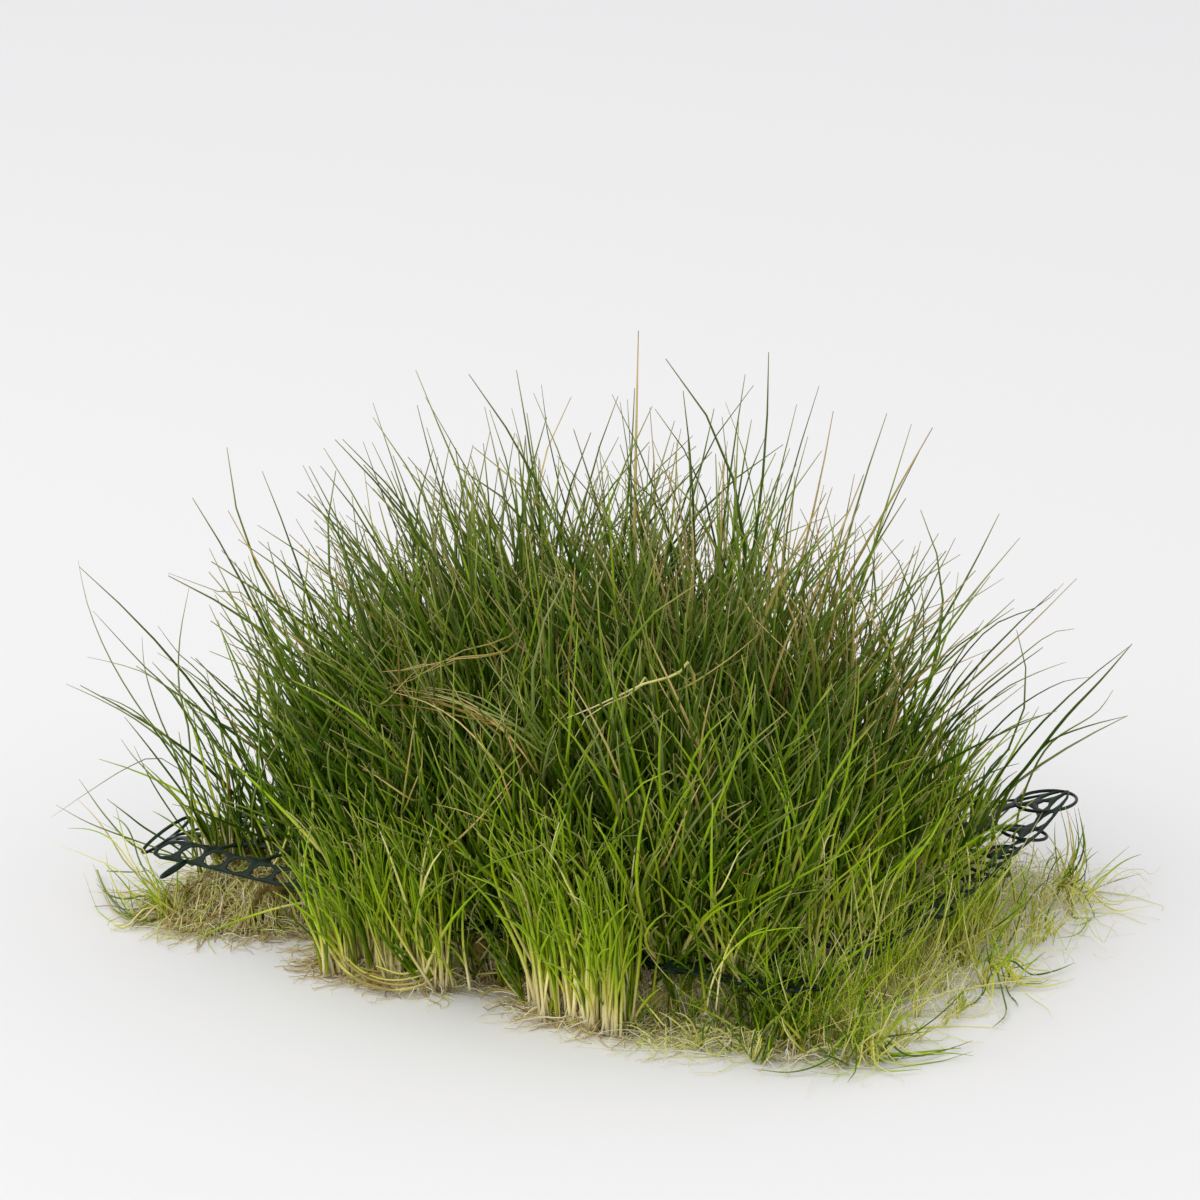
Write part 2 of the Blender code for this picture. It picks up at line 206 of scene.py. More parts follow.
def shaded(tree, colour, number):
    """The colour a little lighter or darker, and greener or yellower, for each strip."""
    chance = add_node(tree, "ShaderNodeTexWhiteNoise", {"W": number}, noise_dimensions="1D")
    value = add_node(tree, "ShaderNodeMapRange", {0: chance.outputs[0], 3: VALUES[0], 4: VALUES[1]})
    split = add_node(tree, "ShaderNodeSeparateColor", {0: chance.outputs[1]})
    hue = add_node(tree, "ShaderNodeMapRange", {0: split.outputs[1], 3: HUES[0], 4: HUES[1]})
    inputs = {"Color": colour, "Value": value.outputs[0], "Hue": hue.outputs[0], "Saturation": FULLNESS}
    return add_node(tree, "ShaderNodeHueSaturation", inputs).outputs[0]


def lightened(tree, colour, noise, low, high):
    """The colour times a factor between low and high, as the noise says."""
    stretched = {0: noise, 1: NOISE_LOW, 2: NOISE_HIGH, 3: low, 4: high}
    factor = add_node(tree, "ShaderNodeMapRange", stretched).outputs[0]
    mixed = add_node(tree, "ShaderNodeMix", {0: 1.0, 6: colour, 7: factor}, data_type="RGBA",
                     blend_type="MULTIPLY")
    return mixed.outputs[2]


print("strips differ in value by", VALUES)

# %% The leaf's colours
# Each kind's colours from root to tip, as places on the ramp and hex values. The pale stops towards the
# tips are partly drying and partly painted light, where the tips catch the most light.
LEAF_COLOURS = {
    FRESH: [(0.0, "#cfcc60"), (0.08, "#a2ae30"), (0.24, "#5a780c"), (0.56, "#54760d"), (0.86, "#789030"),
            (1.0, "#a59e62")],
    DEEP: [(0.0, "#a3a83e"), (0.10, "#667d1c"), (0.32, "#38530b"), (0.60, "#3a590c"), (0.90, "#63762f"),
           (1.0, "#958c5a")],
    AGED: [(0.0, "#a3a84a"), (0.15, "#7c8c2a"), (0.45, "#5f7024"), (0.80, "#848f50"), (1.0, "#a09868")],
    # YOUNG's cream foot is partly painted light, lifting it out of the shade of the blades above.
    YOUNG: [(0.0, "#fff6cf"), (0.20, "#fbf0a4"), (0.38, "#dfe463"), (0.60, "#a6c62a"), (0.90, "#93b232"),
            (1.0, "#adb256")],
    PALE: [(0.0, "#d2cb68"), (0.30, "#dade66"), (0.70, "#e6e586"), (1.0, "#ece8ae")],
    STRAW: [(0.0, "#a9a457"), (0.30, "#a3964f"), (0.55, "#b9a660"), (0.85, "#cfbe7e"), (1.0, "#ab9056")],
    DRY_TIP: [(0.0, "#9aa848"), (0.30, "#6b8c1e"), (0.55, "#7b8c2e"), (0.72, "#ab9c52"), (0.9, "#c6b070"),
              (1.0, "#a08852")],
    BROWN_TIP: [(0.0, "#8b9a3c"), (0.35, "#587a1a"), (0.62, "#6a6f28"), (0.80, "#857038"), (1.0, "#6e5a32")],
}
print("kinds of blade", len(LEAF_COLOURS))

# %% The leaf material
# How many streaks lie side by side and along a blade, and how far they darken and lighten it.
LEAF_STREAKS, LEAF_LIGHT = (5.0, 7.0), (0.82, 1.14)


def leaf_material():
    """Living leaf tissue is waxy: a soft gloss, a colour that runs along the blade and fine streaks in it."""
    material, tree, shader = new_material("leaf_tissue", 0.52, 1.38, specular=0.24)
    number, along, across = strip_coordinates(tree)
    colour = None
    for (first, _), stops in LEAF_COLOURS.items():
        ramp = add_node(tree, "ShaderNodeValToRGB", {0: along}, stops).outputs[0]
        if colour is None:
            colour = ramp
            continue
        reached = add_node(tree, "ShaderNodeMath", {0: number, 1: first - 0.5}, operation="GREATER_THAN")
        mixed = add_node(tree, "ShaderNodeMix", {0: reached.outputs[0], 6: colour, 7: ramp}, data_type="RGBA")
        colour = mixed.outputs[2]
    colour = shaded(tree, colour, number)
    colour = lightened(tree, colour, streaks(tree, number, along, across, LEAF_STREAKS), *LEAF_LIGHT)
    tree.links.new(colour, shader.inputs["Base Color"])
    return material


leaf = leaf_material()
print("leaf material nodes", len(leaf.node_tree.nodes))

# %% [markdown]
# ## Root, felt and plastic materials
#
# Dead and living roots are pale, fibrous and matt; in a felt they are stained by mud and algae. The mat is
# extruded polyethylene, nearly black green, with a dull film of algae where light reaches it. A root takes its
# colour from its strip, as a blade does. The felt and the plastic have no such strips, and noise in their
# Object coordinates gives them patches of a real size, wherever the piece is looked at from.


# %% Root fibre
OLD_ROOT, TAN_ROOT, CREAM_ROOT, GREEN_ROOT = (0, 7), (7, 16), (16, 25), (25, 32)
ROOT_STREAKS, ROOT_LIGHT = (2.0, 9.0), (0.72, 1.12)


def root_material():
    """Root fibre: matt, from dirty brown to cream and yellow-green by the strand, blotched along its length.
    The cream and yellow-green are partly painted light.
    """
    material, tree, shader = new_material("root_fibre", 0.72, 1.40, specular=0.3)
    number, along, across = strip_coordinates(tree)
    share = add_node(tree, "ShaderNodeMath", {0: number, 1: STRIPS}, operation="DIVIDE").outputs[0]
    # The cream and yellow-green stops are lighter than the roots: partly painted light that lifts the shade the
    # grass casts on them.
    stops = [(0.0, "#7a6236"), (0.2, "#9c8048"), (0.24, "#cbb06a"), (0.47, "#e0cb90"), (0.52, "#faefbe"),
             (0.74, "#fffae4"), (0.80, "#f4f096"), (1.0, "#d4dc64")]
    colour = add_node(tree, "ShaderNodeValToRGB", {0: share}, stops).outputs[0]
    colour = lightened(tree, colour, streaks(tree, number, along, across, ROOT_STREAKS), *ROOT_LIGHT)
    tree.links.new(colour, shader.inputs["Base Color"])
    return material


fibre = root_material()
print("root material nodes", len(fibre.node_tree.nodes))

# %% Matted roots
# The sizes in mm of a blotch of mud, of a fibre and of the fibre's relief.
MUD_BLOTCH, FIBRE_WIDTH, FIBRE_RELIEF = 6.0, 0.9, 0.6
FELT_LIGHT = (0.6, 1.3)
# The felt turns young and pale over these stretches of x at the right end and of y at the front; its pale
# colour there is partly the young roots' own and partly painted light that lifts the grass's shade.
YOUNG_AND_LIT_RIGHT, YOUNG_AND_LIT_FRONT = (34.0, 50.0), (-47.0, -54.0)
YOUNG_AND_LIT_FELT = "#e9e0ac"


def felt_material():
    """Matted roots: matt, dark where mud sits and pale where they are young, paler still by painted light, with
    a fibrous relief.
    """
    material, tree, shader = new_material("matted_roots", 0.88, 1.40)
    place = add_node(tree, "ShaderNodeTexCoord").outputs["Object"]
    blotch = add_node(tree, "ShaderNodeTexNoise",
                      {"Vector": place, "Scale": 1.0 / (MUD_BLOTCH * MM), "Detail": 3.0}).outputs[0]
    strand = add_node(tree, "ShaderNodeTexNoise",
                      {"Vector": place, "Scale": 1.0 / (FIBRE_WIDTH * MM), "Detail": 2.0,
                       "Distortion": 2.4}).outputs[0]
    stops = [(0.30, "#4d431f"), (0.45, "#857335"), (0.58, "#b09b54"), (0.72, "#93913f")]
    colour = add_node(tree, "ShaderNodeValToRGB", {0: blotch}, stops).outputs[0]
    split = add_node(tree, "ShaderNodeSeparateXYZ", {0: place})
    right, front = (add_node(tree, "ShaderNodeMapRange", {0: way, 1: first * MM, 2: last * MM}).outputs[0]
                    for way, (first, last) in zip(split.outputs, (YOUNG_AND_LIT_RIGHT, YOUNG_AND_LIT_FRONT)))
    # The share of the pale colour: young roots, and partly painted light against the grass's shade.
    young = add_node(tree, "ShaderNodeMath", {0: right, 1: front}, operation="MAXIMUM").outputs[0]
    paler = add_node(tree, "ShaderNodeMix", {0: young, 6: colour, 7: linear(YOUNG_AND_LIT_FELT)}, data_type="RGBA")
    colour = lightened(tree, paler.outputs[2], strand, *FELT_LIGHT)
    tree.links.new(colour, shader.inputs["Base Color"])
    bump = add_node(tree, "ShaderNodeBump", {"Height": strand, "Strength": 0.7, "Distance": FIBRE_RELIEF * MM})
    tree.links.new(bump.outputs[0], shader.inputs["Normal"])
    return material


felt = felt_material()
print("felt material nodes", len(felt.node_tree.nodes))

# %% Plastic
# The size in mm of a patch of the film of algae.
FILM_BLOTCH = 7.0


def plastic_material():
    """Extruded polyethylene: a soft sheen on dark green, dulled in patches by a film of algae."""
    material, tree, shader = new_material("extruded_polyethylene", 0.38, 1.50, specular=0.2)
    place = add_node(tree, "ShaderNodeTexCoord").outputs["Object"]
    film = add_node(tree, "ShaderNodeTexNoise",
                    {"Vector": place, "Scale": 1.0 / (FILM_BLOTCH * MM), "Detail": 4.0}).outputs[0]
    stops = [(0.40, "#0b1a10"), (0.55, "#122618"), (0.66, "#213725"), (0.78, "#3a4d31")]
    colour = add_node(tree, "ShaderNodeValToRGB", {0: film}, stops).outputs[0]
    tree.links.new(colour, shader.inputs["Base Color"])
    dull = add_node(tree, "ShaderNodeMapRange", {0: film, 1: 0.45, 2: 0.7, 3: 0.32, 4: 0.62}).outputs[0]
    tree.links.new(dull, shader.inputs["Roughness"])
    return material


plastic = plastic_material()
print("materials", [material.name for material in (leaf, fibre, felt, plastic)])

# %% [markdown]
# ## One blade, modelled once
#
# A blade starts as a cylinder with three sides, one unit long. Subdividing its long edges gives it rings
# to bend at, and scaling the rings gives the taper: nearly even for two thirds of the length, then drawn out
# to a point. Three sides are enough at half a millimetre, because smooth shading rounds them, and few
# faces matter when there are thousands of copies. The same function makes a root strand, which tapers less. A
# curve with a round bevel would give the same tube, but it would have to be made a mesh for every blade.


# %% Model the blade and the strand
def fresh_edit(add, **settings):
    """Adds a primitive with nothing else selected, and enters edit mode on it."""
    bpy.ops.object.select_all(action="DESELECT")
    add(**settings)
    bpy.ops.object.mode_set(mode="EDIT")
    return bpy.context.object


def template(name, sides, rings, taper):
    """A unit tube along Z with that many rings, as corners, rings, faces and places on the strip."""
    thing = fresh_edit(bpy.ops.mesh.primitive_cylinder_add, vertices=sides, radius=1.0, depth=1.0,
                       end_fill_type="NGON", location=(0.0, 0.0, 0.5))
    bpy.ops.object.mode_set(mode="OBJECT")
    bpy.ops.object.transform_apply(location=True, rotation=False, scale=False)
    bpy.ops.object.mode_set(mode="EDIT")
    bm = bmesh.from_edit_mesh(thing.data)
    for edge in bm.edges:
        edge.select_set(abs(edge.verts[0].co.z - edge.verts[1].co.z) > 0.5)
    bmesh.update_edit_mesh(thing.data)
    bpy.ops.mesh.subdivide(number_cuts=rings - 1)
    for ring in range(rings + 1):
        bpy.ops.mesh.select_all(action="DESELECT")
        bm = bmesh.from_edit_mesh(thing.data)
        for vert in bm.verts:
            vert.select_set(abs(vert.co.z * rings - ring) < 0.1)
        bmesh.update_edit_mesh(thing.data)
        size = taper(ring / rings)
        bpy.ops.transform.resize(value=(size, size, 1.0), center_override=(0.0, 0.0, ring / rings))
    bpy.ops.object.mode_set(mode="OBJECT")
    mesh = thing.data
    corners = np.array([tuple(vert.co) for vert in mesh.vertices])
    faces = [tuple(face.vertices) for face in mesh.polygons]
    places = []
    for face in mesh.polygons:
        middle = math.atan2(face.center.y, face.center.x) / math.tau
        for index in face.vertices:
            x, y, z = corners[index]
            around = math.atan2(y, x) / math.tau
            around = middle + (around - middle + 0.5) % 1.0 - 0.5
            places.append((abs(around) * 2, z) if len(face.vertices) == 4 else (0.5 + 0.2 * x, z))
    bpy.data.objects.remove(thing, do_unlink=True)
    print(name, "has", len(corners), "corners and", len(faces), "faces")
    return {"corners": corners, "rings": np.rint(corners[:, 2] * rings).astype(int), "count": rings,
            "faces": faces, "places": np.array(places)}


# What a blade keeps of its radius at the very tip, what it loses evenly on the way, where its point begins, and
# the power and the amount with which it is drawn out. The last is what a root loses.
TIP_RADIUS, EVEN_LOSS, POINT_START, POINT_POWER, POINT_LOSS = 0.10, 0.22, 0.55, 1.6, 2.6
STRAND_LOSS = 0.6


def blade_taper(part):
    """Even for most of its length, then drawn out to a point."""
    point = max(part - POINT_START, 0.0) ** POINT_POWER * POINT_LOSS
    return max(TIP_RADIUS, (1.0 - EVEN_LOSS * part) * (1.0 - point))


def strand_taper(part):
    """A root is thickest where it starts and thins evenly."""
    return 1.0 - STRAND_LOSS * part


BLADE = template("blade", 3, 8, blade_taper)
BENT_BLADE = template("bent blade", 4, 16, blade_taper)
STRAND = template("strand", 3, 9, strand_taper)

# %% [markdown]
# ## Copies along a line, joined into one mesh
#
# Each copy keeps the blade's corners but sets them round a line of its own, its spine. A frame of two
# sideways directions is carried up the spine from ring to ring, so the copy doesn't twist or flatten. All
# copies of a tuft are written into one mesh at once from arrays, which is how thousands of small things
# stay fast to make and simple to handle. Hair curves or instances would be lighter still, but they are lost
# when a model is exported.


# %% Directions beside a spine
# A copy keeps this far from its strip's sides and ends, so that no colour bleeds in from the next one.
SIDE_MARGIN, END_MARGIN = 0.12, 0.01


def unit(vectors):
    """The vectors at a length of one."""
    return vectors / np.maximum(np.linalg.norm(vectors, axis=-1, keepdims=True), 1e-9)


def sideways(spines):
    """Two sideways directions at each ring of each spine, carried along so that they don't twist."""
    way = np.empty_like(spines)
    way[:, 1:-1] = spines[:, 2:] - spines[:, :-2]
    way[:, 0] = spines[:, 1] - spines[:, 0]
    way[:, -1] = spines[:, -1] - spines[:, -2]
    way = unit(way)
    side = np.empty_like(way)
    start = np.where(np.abs(way[:, 0, 2:]) > 0.9, [[1.0, 0.0, 0.0]], [[0.0, 0.0, 1.0]])
    side[:, 0] = unit(np.cross(way[:, 0], start))
    for ring in range(1, way.shape[1]):
        last = side[:, ring - 1]
        along = np.sum(last * way[:, ring], axis=-1, keepdims=True)
        side[:, ring] = unit(last - along * way[:, ring])
    return side, np.cross(way, side)


upright = np.array([[[0.0, 0.0, height] for height in range(3)]])
print("beside an upright spine", *(direction[0, 0] for direction in sideways(upright)))


# %% Join the copies
def joined(name, shape, spines, widths, strips, turns, material):
    """One mesh of copies of the shape: spines in mm, widths in mm as radii, strips by number."""
    count = len(spines)
    side, other = sideways(spines)
    cos, sin = np.cos(turns)[:, None, None], np.sin(turns)[:, None, None]
    side, other = side * cos + other * sin, other * cos - side * sin
    ring = shape["rings"]
    x, y = shape["corners"][:, 0], shape["corners"][:, 1]
    wide = widths[:, None, None]
    points = spines[:, ring] + wide * (x[None, :, None] * side[:, ring] + y[None, :, None] * other[:, ring])
    sizes = np.array([len(face) for face in shape["faces"]])
    corners = np.concatenate([np.array(face) for face in shape["faces"]])
    step = len(shape["corners"]) * np.arange(count)[:, None]
    loops = (corners[None, :] + step).ravel()
    totals = np.tile(sizes, count)
    mesh = bpy.data.meshes.new(name)
    mesh.vertices.add(count * len(shape["corners"]))
    mesh.vertices.foreach_set("co", (points * MM).astype(np.float32).ravel())
    mesh.loops.add(len(loops))
    mesh.loops.foreach_set("vertex_index", loops.astype(np.int32))
    mesh.polygons.add(len(totals))
    mesh.polygons.foreach_set("loop_start", np.concatenate([[0], np.cumsum(totals)[:-1]]).astype(np.int32))
    mesh.polygons.foreach_set("use_smooth", np.tile(sizes == 4, count))
    places = np.tile(shape["places"], (count, 1, 1))
    places[..., 0] = (strips[:, None] + SIDE_MARGIN + (1.0 - 2 * SIDE_MARGIN) * places[..., 0]) / STRIPS
    places[..., 1] = END_MARGIN + (1.0 - 2 * END_MARGIN) * places[..., 1]
    layer = mesh.uv_layers.new(name=UV_NAME)
    layer.data.foreach_set("uv", places.astype(np.float32).ravel())
    mesh.materials.append(material)
    mesh.update(calc_edges=True)
    mesh.validate()
    piece = bpy.data.objects.new(name, mesh)
    bpy.context.scene.collection.objects.link(piece)
    return piece


def kept_inside(spines, radius):
    """Each spine drawn back towards its root until it is inside the CAD model's box."""
    roots = spines[:, :1]
    moved = spines - roots
    room_up = (high_corner - roots[:, 0]) / np.maximum(moved.max(axis=1), 1e-6)
    room_down = (roots[:, 0] - low_corner) / np.maximum(-moved.min(axis=1), 1e-6)
    room_down[:, 2] = 1.0
    share = np.minimum(1.0, np.minimum(room_up.min(axis=1), room_down.min(axis=1)))
    spines = roots + moved * share[:, None, None]
    spines[..., 2] = np.maximum(spines[..., 2], radius[:, None])
    return spines


def grass_piece(name, nodes, batches, draw, shape=BLADE, material=leaf):
    """Joins the batches of (spines, radii, strips) into one piece that stands for those nodes."""
    spines, radius, strips = (np.concatenate(part) for part in zip(*batches))
    spines = kept_inside(spines, radius)
    turns = draw.uniform(0.0, math.tau, len(spines))
    piece = joined(name, shape, spines, radius, strips, turns, material)
    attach(piece, "root")
    if nodes:
        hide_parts(*nodes)
    return piece


print("copies keep inside", low_corner.round(1), high_corner.round(1))


# %% Smooth lines
def smooth_line(points, rings):
    """An even line of rings + 1 places on a smooth curve through the points."""
    points = np.asarray(points, float)
    padded = np.concatenate([2 * points[:1] - points[1:2], points, 2 * points[-1:] - points[-2:-1]])
    part = np.linspace(0.0, 1.0, 9)[:-1, None]
    pieces = []
    for a, b, c, d in zip(padded, padded[1:], padded[2:], padded[3:]):
        bend = (2 * a - 5 * b + 4 * c - d) * part**2 + (3 * b - a - 3 * c + d) * part**3
        pieces.append(b + 0.5 * ((c - a) * part + bend))
    dense = np.concatenate([*pieces, points[-1:]])
    travelled = np.concatenate([[0.0], np.cumsum(np.linalg.norm(np.diff(dense, axis=0), axis=1))])
    wanted = np.linspace(0.0, travelled[-1], rings + 1)
    return np.stack([np.interp(wanted, travelled, dense[:, axis]) for axis in range(3)], axis=1)


print("halfway round a corner", smooth_line([(0, 0, 0), (1, 0, 0), (1, 1, 0)], 2)[1].round(2))

# %% [markdown]
# ## How the plant grows
#
# The dome's form is a map from a place on the mat to a height, highest a little behind the middle and
# steeper to the right. Dwarf hairgrass sends up small plants along its runners, each a fan of four to nine
# blades from one point, so the blades cross each other at all heights. A fan leans outwards more the
# further out it is rooted. A blade's line starts along one direction and turns slowly towards another,
# which keeps its length true, as bending a real stem does. A Simple Deform modifier bends a mesh too, but all
# of a tuft's blades alike.

# %% Growth map
MAT_LENGTH, MAT_WIDTH = 124.0, 92.0
HALF_LENGTH, HALF_WIDTH = MAT_LENGTH / 2, MAT_WIDTH / 2
OPENINGS_LONG, OPENINGS_WIDE = 13, 9
PITCH_X, PITCH_Y = MAT_LENGTH / OPENINGS_LONG, MAT_WIDTH / OPENINGS_WIDE
COLUMNS, ROWS = 7, 5
CROWN_HEIGHT, LOW_HEIGHT = 72.0, 10.0
CROWN_X, CROWN_Y = 0.0, 2.0
# How far from the crown the dome ends, and how square its shoulder is.
FALL_LEFT, FALL_RIGHT, FALL_FRONT, FALL_BACK = (80.0, 4.0), (71.0, 2.4), (70.0, 3.0), (74.0, 3.0)
ROOT_LEVEL = 9.0
MAT_LEVEL, LEFT_CORNER_LIFT, RIGHT_CORNER_LIFT = 10.8, 3.2, 6.0
# The slope of the blades at the mat's edge: what comes late, near the edge, and what grows evenly.
LEAN_LEFT, LEAN_RIGHT, LEAN_SIDES = (0.42, 0.10), (0.30, 0.17), (0.45, 0.08)


def soft_step(value, low, high):
    """Nought below low, one above high and smooth between."""
    part = np.clip((value - low) / (high - low), 0.0, 1.0)
    return part * part * (3.0 - 2.0 * part)


def fall(distance, lower, upper):
    """One at the crown and nought at the dome's end, with a reach and a power for each side."""
    reach = np.where(distance > 0, upper[0], lower[0])
    power = np.where(distance > 0, upper[1], lower[1])
    return 1.0 - np.minimum(np.abs(distance) / reach, 1.0) ** power


def bulk_height(x, y):
    """The height of the dome in mm above a place of the mat."""
    along = fall(x - CROWN_X, FALL_LEFT, FALL_RIGHT)
    across = fall(y - CROWN_Y, FALL_FRONT, FALL_BACK)
    return LOW_HEIGHT + (CROWN_HEIGHT - LOW_HEIGHT) * along * across


print("height of the dome at its crown", bulk_height(np.array(CROWN_X), np.array(CROWN_Y)))


# %% Where plants stand and lean
def mat_level(x, y):
    """The height of the filament's middle: the mat lies level, with two corners curled up."""
    along, across = np.asarray(x) / HALF_LENGTH, np.asarray(y) / HALF_WIDTH
    left = soft_step(-along, 0.25, 0.6) * np.maximum(-across, 0.0) ** 3
    right = np.maximum(along, 0.0) ** 3 * np.maximum(across, 0.0) ** 2
    return MAT_LEVEL + LEFT_CORNER_LIFT * left + RIGHT_CORNER_LIFT * right


def edge_share(x, y):
    """Nought in the middle of the mat and one at its edge."""
    return np.clip(np.maximum(np.abs(x) / HALF_LENGTH, np.abs(y) / HALF_WIDTH), 0.0, 1.0)


HOLLOW, HOLLOW_RADIUS, HOLLOW_CORE = (10.0, -17.0), 11.0, 0.3
# The share of plants that is left where it is barest: along the front left border, along the left end, at the
# far corner, at the right end and in the hollow. The back and the left thin out by the last number.
BARE_FRONT, BARE_LEFT, BARE_CORNER, BARE_RIGHT, BARE_HOLLOW, THINNER_ENDS = 0.1, 0.12, 0.08, 0.14, 0.12, 0.34
# The share of plants that the right end gets back near its border, and further in.
BACK_NEAR, BACK_FAR = 0.26, 0.60


def cover(x, y):
    """The share of the mat that carries plants: bare at two corners, thin at the right end and in a hollow."""
    front = np.maximum(soft_step(y + HALF_WIDTH, 3.0, 9.0), soft_step(x, -30.0, -14.0))
    left = np.maximum(soft_step(x + HALF_LENGTH, 3.0, 9.0), soft_step(y, -14.0, 4.0))
    corner = soft_step(np.hypot(x - HALF_LENGTH, y - HALF_WIDTH), 6.0, 26.0)
    inwards = HALF_LENGTH - x
    right = BARE_RIGHT + BACK_NEAR * soft_step(inwards, 2.0, 9.0) + BACK_FAR * soft_step(inwards, 6.0, 34.0)
    ends = 1.0 - THINNER_ENDS * np.maximum(soft_step(y, 4.0, 28.0), soft_step(-x, 22.0, 48.0))
    away = np.hypot(x - HOLLOW[0], y - HOLLOW[1])
    hollow = BARE_HOLLOW + (1.0 - BARE_HOLLOW) * soft_step(away, HOLLOW_CORE * HOLLOW_RADIUS, HOLLOW_RADIUS)
    borders = np.maximum(front, BARE_FRONT) * np.maximum(left, BARE_LEFT) * np.maximum(corner, BARE_CORNER)
    return borders * right * ends * hollow


def outwards(x, y):
    """How far blades lean outwards at a place of the mat, as a slope along x and along y."""
    along, across = x / HALF_LENGTH, y / HALF_WIDTH
    late, even = (np.where(along > 0, right, left) for left, right in zip(LEAN_LEFT, LEAN_RIGHT))
    side_late, side_even = LEAN_SIDES
    return np.stack([late * along**3 + even * along, side_late * across**3 + side_even * across], axis=-1)


print("share of plants in the middle", round(float(cover(0.0, 0.0)), 2))
print("lean at the right end", outwards(HALF_LENGTH, 0.0))


# %% Grow blades
def grow(roots, start, end, lengths, turn_power, rings):
    """Spines of those lengths from the roots, turning from one direction to the other."""
    middle = (np.arange(rings) + 0.5) / rings
    share = middle[None, :, None] ** turn_power[:, None, None]
    way = unit(unit(start)[:, None] * (1.0 - share) + unit(end)[:, None] * share)
    steps = way * (lengths / rings)[:, None, None]
    moved = np.concatenate([np.zeros((len(roots), 1, 3)), np.cumsum(steps, axis=1)], axis=1)
    return roots[:, None] + moved


CURL = 0.29
# The share of blades that stray from their fan, and how far those and the others splay.
STRAYS, STRAY_SPLAY, USUAL_SPLAY = 0.30, 1.8, 0.9
# The share of its slope that a blade has at its foot, and at its tip.
FOOT_SLOPE, TIP_SLOPE = (0.05, 0.95), (0.8, 2.1)


def fans(draw, centres, lean, splay, lengths, blades, shape=BLADE, spread=0.6, first=1.0, late=(0.8, 2.0)):
    """A fan of blades at each centre. lengths is a function of the blades' places.

    lean is each centre's own slope, splay the blades' chance slope about it, and blades the fewest and
    most of a fan. first is the share of the slope that a blade starts with, and late says how late it turns.
    """
    owner = np.repeat(np.arange(len(centres)), draw.integers(blades[0], blades[1] + 1, len(centres)))
    count = len(owner)
    roots = centres[owner] + np.column_stack([draw.normal(0.0, spread, (count, 2)), np.zeros(count)])
    stray = np.where(draw.random((count, 1)) < STRAYS, STRAY_SPLAY, USUAL_SPLAY)
    splay = stray * np.broadcast_to(splay, len(centres))[owner, None]
    slope = lean[owner] + draw.normal(0.0, 1.0, (count, 2)) * splay
    curl = draw.normal(0.0, CURL, (count, 2)) * stray
    start = np.column_stack([(slope * draw.uniform(*FOOT_SLOPE, (count, 1)) - curl) * first, np.ones(count)])
    end = np.column_stack([slope * draw.uniform(*TIP_SLOPE, (count, 1)) + curl, np.ones(count)])
    return grow(roots, start, end, lengths(roots), draw.uniform(*late, count), shape["count"])


def chosen_strips(draw, weights, count):
    """A strip for each blade. weights gives each kind its weight, as a number or one number a blade."""
    kinds = list(weights)
    table = np.stack([np.broadcast_to(weights[kind], count) for kind in kinds]).cumsum(axis=0)
    chosen = (draw.random(count) * table[-1] > table).sum(axis=0)
    low = np.array([kind[0] for kind in kinds])[chosen]
    high = np.array([kind[1] for kind in kinds])[chosen]
    return low + np.floor(draw.random(count) * (high - low)).astype(int)


print("of ten blades", round(10 * STRAYS), "stray")

# %% [markdown]
# ## The tufts in the mat
#
# Every tuft of the CAD gets its own mesh of blades. The plants are scattered over its share of the mat and
# pushed into the openings, since the filament itself carries none. Blades differ much in length, more so
# near the edge, so the dome has no shorn surface: it thins out upwards into single tips. Each tuft has its own
# seed, so that a change to one leaves all others as they were.

# %% Tufts
PLANTS_PER_MM2 = 0.108
BLADES_IN_FAN = (4, 9)
FEWEST_PLANTS = 4
# How much of its length a leaning blade has in height.
SLANT = 0.94
# A tuft's own vigour, the chance that a blade shoots up, and how much longer it then is.
VIGOUR, SHOOT_CHANCE, SHOOT = (0.90, 1.10), 0.05, (1.05, 1.22)
# A blade's shortest share of the full length, what chance adds to it and the two powers of that chance, each
# in the middle of the mat and what it changes by towards the edge.
SHARES = [(0.35, -0.10), (0.87, 0.05), (1.9, -0.5), (2.2, 0.5)]
# How far tufts and plants lean by chance, how far a plant's blades splay, and what the edge adds to that.
TUFT_LEAN, PLANT_LEAN, MAT_SPLAY, EDGE_SPLAY = 0.12, 0.23, 0.30, 0.04
# The blades' radius, and what is taken from it at the back, at the left and at the right end.
MAT_RADIUS, FINER = (0.29, 0.46), 0.24
# The tips of the long blades, where the CAD's tufts have their longest points.
LONG_BLADES = {
    (1, 1): [(-76, -51, 41), (-80, -45, 60)],
    (1, 2): [(-66, -31, 71), (-64, -13, 72)],
    (2, 2): [(-47, -25, 78)],
    (2, 3): [(-48, -2, 84)],
    (3, 3): [(-32, 9, 83)],
    (3, 4): [(-33, 21, 87)],
    (4, 4): [(-5, 16, 98.5), (7, 32, 89)],
    (5, 4): [(20, 35, 88)],
    (5, 5): [(28, 45, 82), (31, 54, 76)],
    (6, 5): [(46, 37, 64), (58, 52, 53)],
    (7, 5): [(71, 56, 44), (72, 53, 32)],
}
LONG_RADIUS = (0.28, 0.36)
# How much nearer to the middle a long blade is rooted than its tip stands, and how far it bows outwards.
NEARER, BOW = 0.6, 0.7
# A blade that ends above this height is straw, and this much thicker.
TALLEST, TALLEST_SIZE = 90, 1.35
# Where most of the dead blades stand.
STRAW_MIDDLE, STRAW_REACH = (18.0, 22.0), (22.0, 20.0)
